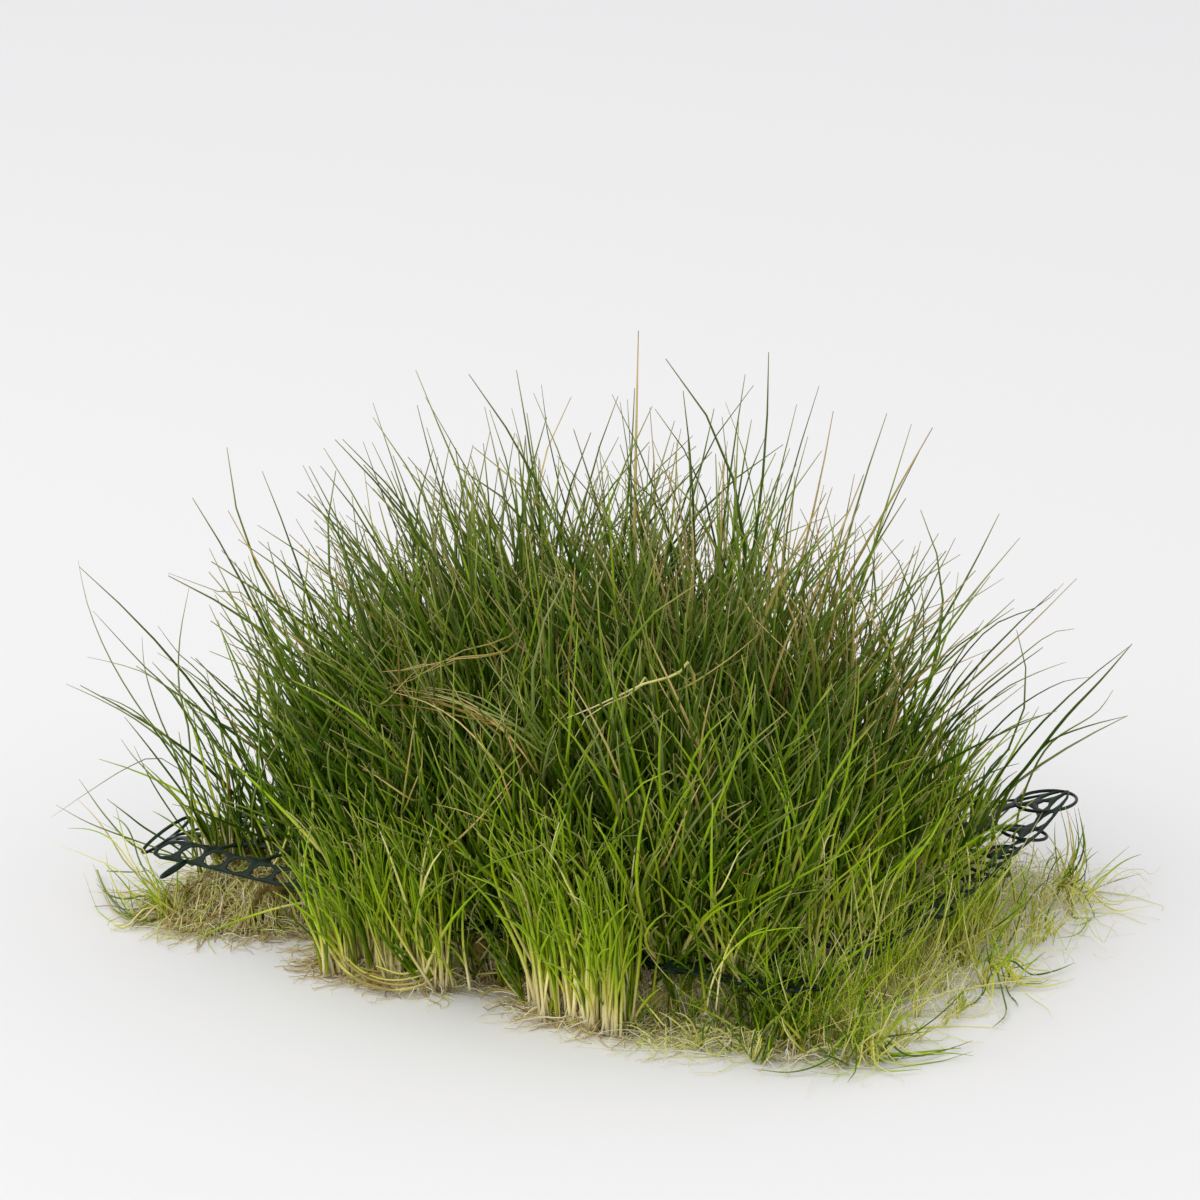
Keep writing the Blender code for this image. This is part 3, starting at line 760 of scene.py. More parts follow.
# How tall the dome stands, against the growth map, by the place to the right in the picture in mm.
OUTLINE = [(-75, 0.76), (-65, 0.88), (-56, 0.80), (-44, 0.85), (-24, 0.97), (-10, 1.00), (3, 1.08), (17, 1.13),
           (31, 1.11), (37, 1.06), (44, 0.95), (51, 0.80), (58, 0.76), (71, 0.60), (78, 0.42)]
print("long blades", sum(map(len, LONG_BLADES.values())))


# %% Places and lengths
def in_openings(x, pitch):
    """Moves places into the middle four fifths of the mat's openings, which are centred on nought."""
    opening = np.rint(x / pitch)
    return (opening + (x / pitch - opening) * 0.8) * pitch


def dome_lengths(draw):
    """A function that gives each root of the mat the length of its blade, for a tuft that is tall or low."""
    vigour = draw.uniform(*VIGOUR)
    places, factors = zip(*OUTLINE)

    def lengths(roots):
        x, y = roots[:, 0], roots[:, 1]
        edge = edge_share(x, y) ** 2
        outline = np.interp((roots - TARGET) @ RIGHT, places, factors)
        shortest, more, low_power, high_power = (middle + change * edge for middle, change in SHARES)
        share = shortest + more * draw.beta(low_power, high_power)
        shoots = draw.random(len(x)) < SHOOT_CHANCE
        share = np.where(shoots, share * draw.uniform(*SHOOT, len(x)), share)
        return (bulk_height(x, y) - ROOT_LEVEL) * share * vigour * outline / SLANT

    return lengths


print("a place is moved into its opening", in_openings(np.array([4.5]), PITCH_X).round(2))


# %% Make the tufts
def scattered(draw, low, high, count):
    """Chance places between two corners, as x and y."""
    return [draw.uniform(low[axis], high[axis], count) for axis in (0, 1)]


def mat_tuft(column, row):
    """The grass of one of the CAD's tufts, rooted in its share of the mat."""
    draw = np.random.default_rng(1000 + 10 * column + row)
    middle = np.array([(column - (COLUMNS + 1) / 2) * 2 * PITCH_X, (row - (ROWS + 1) / 2) * 2 * PITCH_Y])
    low = np.maximum(middle - (PITCH_X, PITCH_Y), (-HALF_LENGTH, -HALF_WIDTH))
    high = np.minimum(middle + (PITCH_X, PITCH_Y), (HALF_LENGTH, HALF_WIDTH))
    count = int(np.prod(high - low) * PLANTS_PER_MM2)
    x, y = map(in_openings, scattered(draw, low, high, count), (PITCH_X, PITCH_Y))
    chance = cover(x, y)
    rooted = draw.random(count) < chance
    rooted[np.argsort(chance)[-FEWEST_PLANTS:]] = True
    centres = np.column_stack([x, y, np.full(count, ROOT_LEVEL)])[rooted]
    x, y = centres[:, 0], centres[:, 1]
    lean = outwards(x, y) + draw.normal(0.0, TUFT_LEAN, 2) + draw.normal(0.0, PLANT_LEAN, (len(x), 2))
    splay = MAT_SPLAY + EDGE_SPLAY * edge_share(x, y) ** 2
    spines = fans(draw, centres, lean, splay, dome_lengths(draw), BLADES_IN_FAN)
    x, y = spines[:, 0, 0], spines[:, 0, 1]
    count = len(x)
    front = soft_step(-y / HALF_WIDTH, 0.55, 1.0)
    right = soft_step(x / HALF_LENGTH, 0.5, 0.95)
    away = ((x - STRAW_MIDDLE[0]) / STRAW_REACH[0]) ** 2 + ((y - STRAW_MIDDLE[1]) / STRAW_REACH[1]) ** 2
    dry = np.exp(-away)
    # Each kind has a weight everywhere, and more or less of it at the front, at the right or among the straw.
    weights = {
        FRESH: 0.42,
        DEEP: 0.46 - 0.2 * front - 0.34 * right,
        YOUNG: 0.03 + 0.3 * front + 0.8 * right,
        AGED: 0.08,
        STRAW: 0.003 + 0.12 * dry,
        DRY_TIP: 0.012 + 0.40 * dry,
        BROWN_TIP: 0.012 + 0.14 * dry,
    }
    fine = 1.0 - FINER * np.maximum(np.maximum(soft_step(y, -5.0, 25.0), right), soft_step(-x, 25.0, 50.0))
    batches = [(spines, fine * draw.uniform(*MAT_RADIUS, count), chosen_strips(draw, weights, count))]
    for tip in LONG_BLADES.get((column, row), []):
        batches.append(long_blade(draw, spines, np.array(tip, float)))
    return grass_piece(f"grass_{column}_{row}", [f"tuft_{column}_{row}"], batches, draw)


def long_blade(draw, spines, tip, kind=None, size=1.0):
    """A blade from the tuft's nearest root whose tip is where the CAD's longest point is."""
    root = spines[np.argmin(np.linalg.norm(spines[:, 0, :2] - tip[:2] * NEARER, axis=1)), 0]
    part = np.linspace(0.0, 1.0, spines.shape[1])[:, None]
    bow = root + (tip - root) * part
    bow[:, :2] -= (tip - root)[:2] * (part * (1 - part)) * BOW
    tallest = tip[2] > TALLEST
    kind = kind or ({STRAW: 1.0} if tallest else {DEEP: 0.5, AGED: 0.4, DRY_TIP: 0.1})
    size = TALLEST_SIZE if tallest else size
    return bow[None], draw.uniform(*LONG_RADIUS, 1) * size, chosen_strips(draw, kind, 1)


blade_count = 0
for column in range(1, COLUMNS + 1):
    for row in range(1, ROWS + 1):
        piece = mat_tuft(column, row)
        blade_count += len(piece.data.polygons) // len(BLADE["faces"])
print("blades in the mat", blade_count)

# %% [markdown]
# ## The felt of roots
#
# Roots and runners have matted into a slab that carries everything. The CAD's slab has the right place and
# size, so a copy of it is the start: its loose triangles are merged, a voxel remesh gives even faces, and
# two displacements, one coarse and one fine, make it lumpy. The lumps go inwards, so that the slab stays
# inside the CAD's box and loose roots make its visible edge. Its underside is pressed flat again. Sculpting
# would do the same by hand, but a displacement can be run again when the CAD changes.

# %% Felt core
VOXEL = 1.1
# The size, the depth and the middle level of the coarse lumps and of the fine ones.
LUMPS = [(6.0, 2.6, 0.86), (1.9, 1.0, 0.62)]
# What lies below the first height is pressed flat: the second goes down to nought, and the third stretches
# what lies between them.
PRESSED_BELOW, PRESSED_FROM, PRESSED_BY = 1.6, 0.9, 2.3
WAVER = 0.7
# How much of the felt's height is worn away, and how much of that at the left end and corner.
WORN, LEFT_WORN = 0.78, 0.8
# The front edge of the roots, as x and y: they have grown well below the two bright tufts, less between.
FRONT_EDGE = [(-80, -43), (-66, -49.5), (-52, -51.5), (-47, -49), (-43, -43), (-38, -38), (-31, -40),
              (-25, -52), (-20, -56), (-3, -55.5), (0, -48), (5, -43), (11, -47), (17, -55.5), (22, -56.5),
              (34, -55.5), (37, -48), (44, -44), (54, -43.5), (62, -42), (70, -38), (80, -34)]
# The right edge, as y and x.
RIGHT_EDGE = [(-60, 56), (-48, 56), (-36, 54), (-20, 52), (0, 50.5), (20, 49), (40, 47), (60, 43)]
print("places on the front and the right edge", len(FRONT_EDGE), len(RIGHT_EDGE))


# %% Where the felt is cut back and worn
def cut_back(x, y):
    """A corner of the slab drawn in to the edges above, with a little waver."""
    waver = WAVER * math.sin(0.9 * x + 0.4) + WAVER * math.sin(1.1 * y)
    return min(x, np.interp(y, *zip(*RIGHT_EDGE)) + waver), max(y, np.interp(x, *zip(*FRONT_EDGE)) + waver)


def rim_share(x, y):
    """What is left of the felt's height: it wears thin beyond the mat at the right end and near the corners."""
    right = soft_step(x, 42.0, 54.0)
    near = soft_step(x, 36.0, 46.0) * soft_step(-y, 40.0, 48.0)
    left = soft_step(-x, 56.0, 72.0)
    corner = soft_step(-x, 40.0, 52.0) * soft_step(-y, 41.0, 48.0)
    return 1.0 - WORN * max(right, near, LEFT_WORN * left, LEFT_WORN * corner)


def pressed(height):
    """A height of the slab once its underside is flat."""
    return height if height > PRESSED_BELOW * MM else max((height - PRESSED_FROM * MM) * PRESSED_BY, 0.0)


print("felt left at the right end", round(rim_share(60.0, 0.0), 2))


# %% Make the felt core
def apply_modifier(piece, kind, **settings):
    """Adds a modifier with its settings to the active piece and applies it."""
    modifier = piece.modifiers.new(kind.title(), kind)
    for name, value in settings.items():
        setattr(modifier, name, value)
    bpy.ops.object.modifier_apply(modifier=modifier.name)


def coat(piece, material):
    """Smooth shading, and the material in place of any other."""
    piece.data.shade_smooth()
    piece.data.materials.clear()
    piece.data.materials.append(material)


def felt_core():
    """The slab of roots: the CAD's, with an edge drawn in, lumps, and thin places where it has worn away."""
    source = bpy.data.objects["root_felt"]
    piece = bpy.data.objects.new("matted_roots", source.data.copy())
    bpy.context.scene.collection.objects.link(piece)
    bpy.ops.object.select_all(action="DESELECT")
    piece.select_set(True)
    bpy.context.view_layer.objects.active = piece
    bpy.ops.object.mode_set(mode="EDIT")
    bpy.ops.mesh.select_all(action="SELECT")
    bpy.ops.mesh.remove_doubles(threshold=0.01 * MM)
    bpy.ops.object.mode_set(mode="OBJECT")
    for _ in range(2):
        apply_modifier(piece, "REMESH", mode="VOXEL", voxel_size=VOXEL * MM)
        for vert in piece.data.vertices:
            x, y = cut_back(vert.co.x / MM, vert.co.y / MM)
            vert.co.x, vert.co.y = x * MM, y * MM
    for size, depth, middle in LUMPS:
        texture = bpy.data.textures.new("lumps", "CLOUDS")
        texture.noise_scale, texture.noise_depth = size * MM, 2
        apply_modifier(piece, "DISPLACE", texture=texture, texture_coords="LOCAL", strength=depth * MM,
                       mid_level=middle)
    for vert in piece.data.vertices:
        vert.co.z = pressed(vert.co.z)
        vert.co.z *= rim_share(vert.co.x / MM, vert.co.y / MM)
    coat(piece, felt)
    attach(piece, "root")
    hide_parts("root_felt")
    return piece


core = felt_core()
print("felt core faces", len(core.data.polygons))

# %% [markdown]
# ## Height of the felt
#
# Roots and young plants are placed on the felt, so its height is needed anywhere on it. Straight lines of
# sight downwards on a grid of places measure it once, and the heights between are mixed from their
# neighbours. A Shrinkwrap modifier would lay a mesh on the felt, but here only single places are asked for.

# %% Felt heights
GRID_STEP, ABOVE_ALL = 1.5, 100.0
grid_x = np.arange(low_corner[0], high_corner[0], GRID_STEP)
grid_y = np.arange(low_corner[1], high_corner[1], GRID_STEP)
core_tree = BVHTree.FromPolygons([vert.co for vert in core.data.vertices],
                                 [face.vertices for face in core.data.polygons])
felt_heights = np.zeros((len(grid_x), len(grid_y)))
for n, x in enumerate(grid_x):
    for m, y in enumerate(grid_y):
        hit = core_tree.ray_cast(Vector((x, y, ABOVE_ALL)) * MM, Vector((0.0, 0.0, -1.0)))[0]
        felt_heights[n, m] = hit.z / MM if hit else 0.0


def felt_top(x, y):
    """The height of the felt's upper side in mm, and nought outside it."""
    column = np.clip((x - grid_x[0]) / GRID_STEP, 0.0, len(grid_x) - 1.001)
    row = np.clip((y - grid_y[0]) / GRID_STEP, 0.0, len(grid_y) - 1.001)
    n, m = column.astype(int), row.astype(int)
    a, b = column - n, row - m
    near = felt_heights[n, m] * (1 - b) + felt_heights[n, m + 1] * b
    far = felt_heights[n + 1, m] * (1 - b) + felt_heights[n + 1, m + 1] * b
    return near * (1 - a) + far * a


print("highest felt", round(felt_heights.max(), 1), "mm")

# %% [markdown]
# ## Loose roots
#
# What is seen of a felt is single roots that wander over it, out of its edge and along the floor. Each is a
# line whose heading takes a slow random walk while it follows the felt's surface. Under the grass nothing of
# them shows, so they are only made near the edge. They are copies of the strand, for the same reason as the
# blades: particles and hair would be left behind at export.

# %% Roots
# Each patch of rim has its box, how far beyond the felt it reaches in x and in y, its number of roots, their
# shortest and longest, how high they loop, their thinnest and thickest radius, the heading they keep to, how
# far they stray from it, and the weight of each kind.
ROOT_PATCHES = {
    "roots_left": ((-80, -30, -58, -30), (0, 0), 1500, (5, 16), (0.1, 3.2), (0.07, 0.17), -2.6, 1.5,
                   {OLD_ROOT: 0.12, TAN_ROOT: 0.34, CREAM_ROOT: 0.19, GREEN_ROOT: 0.35}),
    "roots_left_end": ((-80, -50, -34, 58), (0, 0), 500, (6, 18), (0.1, 1.8), (0.09, 0.22), 3.0, 1.3,
                       {OLD_ROOT: 0.2, TAN_ROOT: 0.4, CREAM_ROOT: 0.25, GREEN_ROOT: 0.15}),
    "roots_front": ((-30, 42, -58, -42), (0, 0), 1700, (4, 13), (0.1, 2.2), (0.08, 0.20), 0.1, 0.7,
                    {OLD_ROOT: 0.05, TAN_ROOT: 0.45, CREAM_ROOT: 0.45, GREEN_ROOT: 0.05}),
    "roots_near_corner": ((38, 82, -58, -26), (18, -9), 750, (6, 20), (0.2, 4.0), (0.07, 0.15), -0.6, 1.6,
                          {TAN_ROOT: 0.15, CREAM_ROOT: 0.4, GREEN_ROOT: 0.45}),
    "roots_right": ((46, 82, -32, 52), (29, 0), 700, (8, 22), (0.2, 8.0), (0.06, 0.13), 0.4, 1.6,
                    {CREAM_ROOT: 0.55, GREEN_ROOT: 0.45}),
    "roots_back": ((-56, 62, 42, 58), (0, 0), 700, (6, 18), (0.1, 1.8), (0.09, 0.22), 1.6, 1.2,
                   {OLD_ROOT: 0.2, TAN_ROOT: 0.45, CREAM_ROOT: 0.25, GREEN_ROOT: 0.1}),
}
print("patches of roots", len(ROOT_PATCHES))

# %% Wandering lines
# How far a root turns by chance from ring to ring and all along, how much of that at its start, and the least
# and the most angle that its wave up and down runs through.
ROOT_BEND, ROOT_TURN, FIRST_BEND, LOOPS = 0.36, 0.07, 0.5, (2, 9)
# Roots start on the felt where it is higher than this. Places are tried so many at a time.
ROOTED_ABOVE, TRIED = 0.5, 4000


def wander(draw, starts, headings, lengths, lift, radius, rings):
    """Lines that wander over the felt and the floor, each a little above it."""
    count = len(starts)
    turns = np.cumsum(draw.normal(0.0, ROOT_BEND, (count, rings)), axis=1)
    turns = turns + draw.normal(0.0, ROOT_TURN, (count, 1))
    ways = headings[:, None] + turns * np.linspace(FIRST_BEND, 1.0, rings)
    steps = np.stack([np.cos(ways), np.sin(ways)], axis=2) * (lengths / rings)[:, None, None]
    level = np.concatenate([starts[:, None], starts[:, None] + np.cumsum(steps, axis=1)], axis=1)
    height = felt_top(level[..., 0], level[..., 1])
    height[:, 1:-1] = (height[:, :-2] + 2 * height[:, 1:-1] + height[:, 2:]) / 4
    wave = np.abs(np.sin(np.linspace(0.0, 1.0, rings + 1)[None] * draw.uniform(*LOOPS, (count, 1))
                         + draw.uniform(0.0, math.tau, (count, 1))))
    height = height + radius[:, None] + wave * lift[:, None]
    return np.concatenate([level, height[..., None]], axis=2)


def loose_roots(name, patch, seed):
    """The roots of one patch of the felt's rim."""
    draw = np.random.default_rng(seed)
    box, beyond, count, span, lift, thickness, heading, stray, weights = patch
    starts = np.empty((0, 2))
    while len(starts) < count:
        tried = draw.uniform(box[0::2], box[1::2], (TRIED, 2))
        reach = draw.random((TRIED, 1)) ** 1.5 * beyond
        starts = np.concatenate([starts, tried[felt_top(*(tried - reach).T) > ROOTED_ABOVE]])
    starts = starts[:count]
    headings = heading + draw.normal(0.0, stray, count) + math.pi * draw.integers(0, 2, count)
    radius = draw.uniform(*thickness, count)
    spines = wander(draw, starts, headings, draw.uniform(*span, count),
                    lift[0] + (lift[1] - lift[0]) * draw.random(count) ** 2, radius, STRAND["count"])
    strips = chosen_strips(draw, weights, count)
    return grass_piece(name, [], [(spines, radius, strips)], draw, STRAND, fibre)


for seed, (name, patch) in enumerate(ROOT_PATCHES.items(), start=3100):
    loose_roots(name, patch, seed)
print("loose roots", sum(patch[2] for patch in ROOT_PATCHES.values()))

# %% [markdown]
# ## The young plants outside the mat
#
# The plants that have rooted in the rim are younger and brighter. Their blades stand close together, with
# pale yellow feet, and fan out above. They are made as the tufts in the mat are, only from a table, because
# each of the nine has a box, a height and a thickness of its own.

# %% Rim tufts
BRIGHT = {YOUNG: 0.88, FRESH: 0.1, PALE: 0.02}
PLAIN = {YOUNG: 0.3, FRESH: 0.6, DEEP: 0.07, PALE: 0.03}
NEAR = {YOUNG: 0.3, FRESH: 0.45, DEEP: 0.1, PALE: 0.15}
YELLOWER = {YOUNG: 0.72, FRESH: 0.08, PALE: 0.20}
WEAK = {YOUNG: 0.36, FRESH: 0.04, PALE: 0.6}
# Each tuft's box, the share of the growth map's height, its blades to a square millimetre, how far they
# splay, how much of their slope they start with, their thinnest and thickest radius and each kind's weight.
# The first tuft has grown up through a thick pad of roots, which hides its feet.
RIM_TUFTS = [
    ((-22.0, -1.5, -55.6, -51.5), 0.84, 1.6, 0.40, 0.5, (0.22, 0.38), {YOUNG: 0.78, FRESH: 0.2, PALE: 0.02}),
    ((17.5, 35.0, -55.4, -51.5), 1.04, 2.3, 0.34, 0.25, (0.25, 0.42), BRIGHT),
    ((45.0, 60.0, -53.6, -52.1), 0.50, 0.6, 0.50, 0.8, (0.13, 0.22), NEAR),
    ((73.2, 77.0, -36.5, -28.5), 0.80, 0.6, 0.50, 0.8, (0.11, 0.18), WEAK),
    ((74.2, 77.6, -23.0, -12.0), 0.70, 0.6, 0.50, 0.8, (0.11, 0.18), WEAK),
    ((68.3, 71.6, 14.0, 26.0), 0.75, 0.6, 0.50, 0.8, (0.11, 0.18), WEAK),
    ((18.0, 36.0, 52.3, 55.5), 0.60, 1.4, 0.25, 0.4, (0.22, 0.36), PLAIN),
    ((-34.0, -16.0, 52.3, 55.5), 0.60, 1.4, 0.25, 0.4, (0.22, 0.36), PLAIN),
    ((-71.6, -68.3, 0.0, 15.0), 0.60, 1.2, 0.30, 0.4, (0.22, 0.36), PLAIN),
]
# The pale wisps at the right end that reach the tips of these tufts' solids.
WISPS = {4: [(95.2, -37.0, 7.4), (92.0, -33.5, 6.0)], 5: [(92.8, -18.5, 9.6), (91.6, -17.2, 9.0)]}
WISP_SIZE = 0.5
RIM_SPREAD = 0.6
# How far below the felt's top the blades start, in all tufts but the first, in the first, and between them.
FEET_BELOW, FIRST_FEET_BELOW, PLANT_FEET_BELOW = 0.6, 2.4, 0.5
LOWEST_FOOT = 0.4
SMALL_FAN = (3, 7)
# A tuft leans apart from its middle by this slope at its ends. A narrow one counts as this wide.
LEAN_APART, LEAST_WIDTH = 0.3, 12.0
# The level that a rim plant's height is counted from.
RIM_LEVEL = 3.0
print("wisps", sum(map(len, WISPS.values())))


# %% Make the rim tufts
def on_felt(x, y, below):
    """Places that far below the top of the felt, but not in the floor."""
    return np.column_stack([x, y, np.maximum(felt_top(x, y) - below, LOWEST_FOOT)])


def rim_tuft(number, box, reach, density, splay, first, thickness, weights):
    """The grass of one of the CAD's tufts at the rim."""
    draw = np.random.default_rng(2000 + number)
    low, high = np.array(box[0::2]) - RIM_SPREAD, np.array(box[1::2]) + RIM_SPREAD
    plants = int(np.prod(high - low) * density / np.mean(SMALL_FAN))
    x, y = scattered(draw, low, high, plants)
    centres = on_felt(x, y, FIRST_FEET_BELOW if number == 1 else FEET_BELOW)
    lean = 0.5 * outwards(x, y) + draw.normal(0.0, 0.08, (plants, 2))
    lean[:, 0] += LEAN_APART * ((x - x.mean()) / max(np.ptp(x), LEAST_WIDTH))

    def lengths(roots):
        share = 0.42 + 0.66 * draw.beta(2.0, 1.7, len(roots))
        return (bulk_height(roots[:, 0], roots[:, 1]) - RIM_LEVEL) * reach * share

    spines = fans(draw, centres, lean, splay, lengths, SMALL_FAN, spread=0.5, first=first, late=(1.2, 3.0))
    count = len(spines)
    batches = [(spines, draw.uniform(*thickness, count), chosen_strips(draw, weights, count))]
    for tip in WISPS.get(number, []):
        batches.append(long_blade(draw, spines, np.array(tip), {PALE: 1.0}, WISP_SIZE))
    return grass_piece(f"young_{number}", [f"rim_tuft_{number}"], batches, draw)


for number, tuft in enumerate(RIM_TUFTS, start=1):
    rim_tuft(number, *tuft)
print("rim tufts", len(RIM_TUFTS))

# %% [markdown]
# ## Small plants between them
#
# Runners send up single small plants all along the rim and just inside the mat's edge, and some lean right
# down to the surface. They are too many and too thin for the CAD, so each stretch of the rim is one more mesh
# of blades, and a row of a table says what grows there. They are rooted only where the felt reaches.

# %% Plants between them
# The box of each stretch of the rim, how many plants grow there, the shortest and longest blade, how far
# they lean out, how far they splay, their thinnest and thickest radius, and the weight of each kind.
STRETCHES = {
    "rim_plants_front": ((-24.0, 40.0, -55.5, -46.5), 10, (12.0, 26.0), 1.0, 0.30, (0.18, 0.34), PLAIN),
    "rim_plants_near_corner": ((42.0, 76.0, -54.0, -36.0), 30, (11.0, 28.0), 1.0, 0.75, (0.10, 0.19), NEAR),
    "rim_plants_left": ((-71.0, -63.0, -30.0, 48.0), 26, (8.0, 20.0), 1.0, 0.4, (0.16, 0.30), PLAIN),
    "rim_plants_right": ((61.0, 75.0, -44.0, 38.0), 34, (7.0, 16.0), 0.5, 0.6, (0.09, 0.15), WEAK),
    "rim_plants_back": ((-60.0, 40.0, 47.0, 56.5), 42, (8.0, 26.0), 1.0, 0.4, (0.18, 0.34), PLAIN),
    "edge_plants_front": ((-30.0, 38.0, -48.0, -43.0), 40, (14.0, 30.0), 1.0, 0.42, (0.18, 0.34), PLAIN),
    "edge_plants_near_corner": ((38.0, 64.0, -47.0, -41.0), 22, (12.0, 30.0), 0.8, 0.5, (0.14, 0.26), PLAIN),
    "edge_plants_right": ((57.0, 67.0, -43.0, 24.0), 88, (12.0, 30.0), 0.25, 0.36, (0.11, 0.20), YELLOWER),
    "edge_plants_left": ((-67.0, -58.0, -10.0, 48.0), 40, (12.0, 26.0), 1.1, 0.45, (0.18, 0.34), PLAIN),
    "edge_plants_back": ((-62.0, 38.0, 43.0, 50.0), 66, (12.0, 30.0), 1.1, 0.42, (0.18, 0.34), PLAIN),
}
print("most plants in one stretch", max(stretch[1] for stretch in STRETCHES.values()))

# %% Make the small plants
# A plant may stand outside the felt if the felt is this high at these shares of its x and y.
FELT_NEAR, SHARE_X, SHARE_Y = 0.6, 0.68, 0.84


def rim_plants(name, box, plants, span, outward, splay, thickness, weights, seed):
    """The small plants of one stretch of the rim."""
    draw = np.random.default_rng(seed)
    x, y = scattered(draw, box[0::2], box[1::2], plants)
    near_felt = felt_top(SHARE_X * x, SHARE_Y * y) > FELT_NEAR
    x, y = x[near_felt], y[near_felt]
    centres = on_felt(x, y, PLANT_FEET_BELOW)
    lean = outward * outwards(x, y) + draw.normal(0.0, 0.2, (len(x), 2))

    def lengths(roots):
        return draw.uniform(*span, len(roots)) * draw.uniform(0.6, 1.0, len(roots))

    spines = fans(draw, centres, lean, splay, lengths, SMALL_FAN, spread=0.4)
    count = len(spines)
    strips = chosen_strips(draw, weights, count)
    return grass_piece(name, [], [(spines, draw.uniform(*thickness, count), strips)], draw)


for seed, (name, stretch) in enumerate(STRETCHES.items(), start=4100):
    rim_plants(name, *stretch, seed)
print("stretches of rim plants", len(STRETCHES))

# %% [markdown]
# ## Sprays along the surface
#
# At the corners, blades and runners have grown out over the surface. The CAD gives their routes, which are
# repeated here; each gets thinner companions that stray a little from it, and a crown of short blades
# where they start. A bent curve would follow a route too; a smooth line through its places gives the same
# spine to the blade that everything else is made of.

# %% Sprays
SPRAYS = {
    "spray_left_corner": (
        (-60.8, -47.8),
        [
            [(-62, -51, 3.9), (-64.5, -53.5, 1.5), (-69, -51, 0.9), (-75, -46.5, 0.9), (-79.5, -44, 6)],
            [(-65, -48.6, 4.2), (-70, -47.5, 2.4), (-76, -44.5, 1.2), (-81.5, -40.5, 1.0)],
            [(-63.4, -47.4, 5.4), (-69, -48.2, 9), (-75, -45, 12), (-83, -39, 13), (-91, -33, 13)],
        ],
    ),
    "spray_right_corner": (
        (65.4, 41.0),
        [
            [(69, 42.4, 3.8), (72.1, 43.1, 1.2), (76.8, 40.5, 0.8), (79, 43.4, 0.8), (81, 46.1, 0.8)],
            [(69, 39, 4), (72.5, 37, 1.5), (75, 33, 0.8), (76.5, 26, 0.8), (74.5, 22.5, 0.8)],
            [(67, 43.8, 5.4), (68.8, 43.4, 9.5), (69.3, 42, 13.5), (68.9, 40.8, 18)],
        ],
    ),
    "spray_right_edge": (
        (74.4, -2.0),
        [
            [(77, 0.6, 4.0), (79.5, 3, 1.3), (81.5, 8, 0.8), (82.5, 13, 0.8)],
            [(77.8, -2.6, 4.0), (81, -2, 1.3), (84, 1, 0.8), (86, 6, 0.8)],
            [(77, -5, 4.0), (80.5, -9, 1.3), (84, -15, 0.8), (85, -22, 0.8)],
        ],
    ),
    "spray_near_corner": (
        (73.4, -41.6),
        [
            [(76.2, -42.6, 4.0), (80, -41, 1.3), (83, -35, 0.8), (85, -28.5, 0.8)],
            [(75.4, -44.6, 4.0), (77.5, -47.5, 1.3), (80, -47.5, 0.8), (84, -44, 0.8)],
            [(71.6, -45.6, 4.2), (70.5, -51, 1.8), (67, -56, 0.8), (61, -58, 0.8)],
        ],
    ),
    "spray_back_corner": (
        (-61.6, 49.2),
        [
            [(-66, 50, 4.0), (-71, 52, 1.3), (-76, 53, 0.8), (-80, 51, 0.8)],
            [(-63.5, 53, 4.0), (-66, 58, 1.3), (-64, 62, 0.8), (-59, 64, 0.8)],
        ],
    ),
}
print("routes", sum(len(routes) for _, routes in SPRAYS.values()))

# %% Make the sprays
CROWN_LEVEL = 3.2
# The radius of a route's own blade and of its companions, how many they are, how far they turn aside by chance
# and how long they are against it.
ROUTE_RADIUS, COMPANION_RADIUS, COMPANIONS, ASIDE, COMPANION_LENGTH = 0.18, (0.08, 0.16), 6, 0.34, (0.35, 0.95)
# The short plants round the crown: how many, how far off by chance, how they lean and splay, their lengths in
# mm and their radius.
CROWN_PLANTS, CROWN_SPREAD, CROWN_LEAN, CROWN_SPLAY = 7, 2.2, 0.3, 0.6
CROWN_LENGTH, CROWN_RADIUS = (5.0, 15.0), (0.11, 0.20)


def turned(angle):
    """The matrix that turns places in a plane."""
    cos, sin = math.cos(angle), math.sin(angle)
    return np.array([[cos, sin], [-sin, cos]])


def spray(name, middle, routes, seed):
    """Blades and runners along one of the CAD's sprays."""
    draw = np.random.default_rng(seed)
    crown = np.array([*middle, CROWN_LEVEL])
    lines, radii = [], []
    for route in routes:
        line = smooth_line([crown, *route], BENT_BLADE["count"])
        lines.append(line)
        radii.append(ROUTE_RADIUS)
        for _ in range(COMPANIONS):
            turn, size = draw.normal(0.0, ASIDE), draw.uniform(*COMPANION_LENGTH)
            moved = (line - crown) * size
            moved[:, :2] = moved[:, :2] @ turned(turn)
            moved[:, 2] /= size
            moved += draw.normal(0.0, 1.0, 3) * np.sin(np.linspace(0.0, math.pi, len(line)))[:, None]
            lines.append(crown + moved + [*draw.normal(0.0, 1.2, 2), 0.0])
            radii.append(draw.uniform(*COMPANION_RADIUS))
    strips = chosen_strips(draw, {YOUNG: 0.35, FRESH: 0.3, PALE: 0.3, STRAW: 0.05}, len(lines))
    batches = [(np.array(lines), np.array(radii), strips)]
    places = crown[:2] + draw.normal(0.0, CROWN_SPREAD, (CROWN_PLANTS, 2))
    centres = np.column_stack([places, felt_top(*places.T)])
    lean = np.tile(unit(np.array(middle)) * CROWN_LEAN, (CROWN_PLANTS, 1))
    short = fans(draw, centres, lean, CROWN_SPLAY, lambda roots: draw.uniform(*CROWN_LENGTH, len(roots)),
                 (3, 5), shape=BENT_BLADE)
    batches.append((short, draw.uniform(*CROWN_RADIUS, len(short)),
                    chosen_strips(draw, {YOUNG: 0.6, FRESH: 0.2, PALE: 0.2}, len(short))))
    return grass_piece(f"{name}_blades", [name], batches, draw, shape=BENT_BLADE)


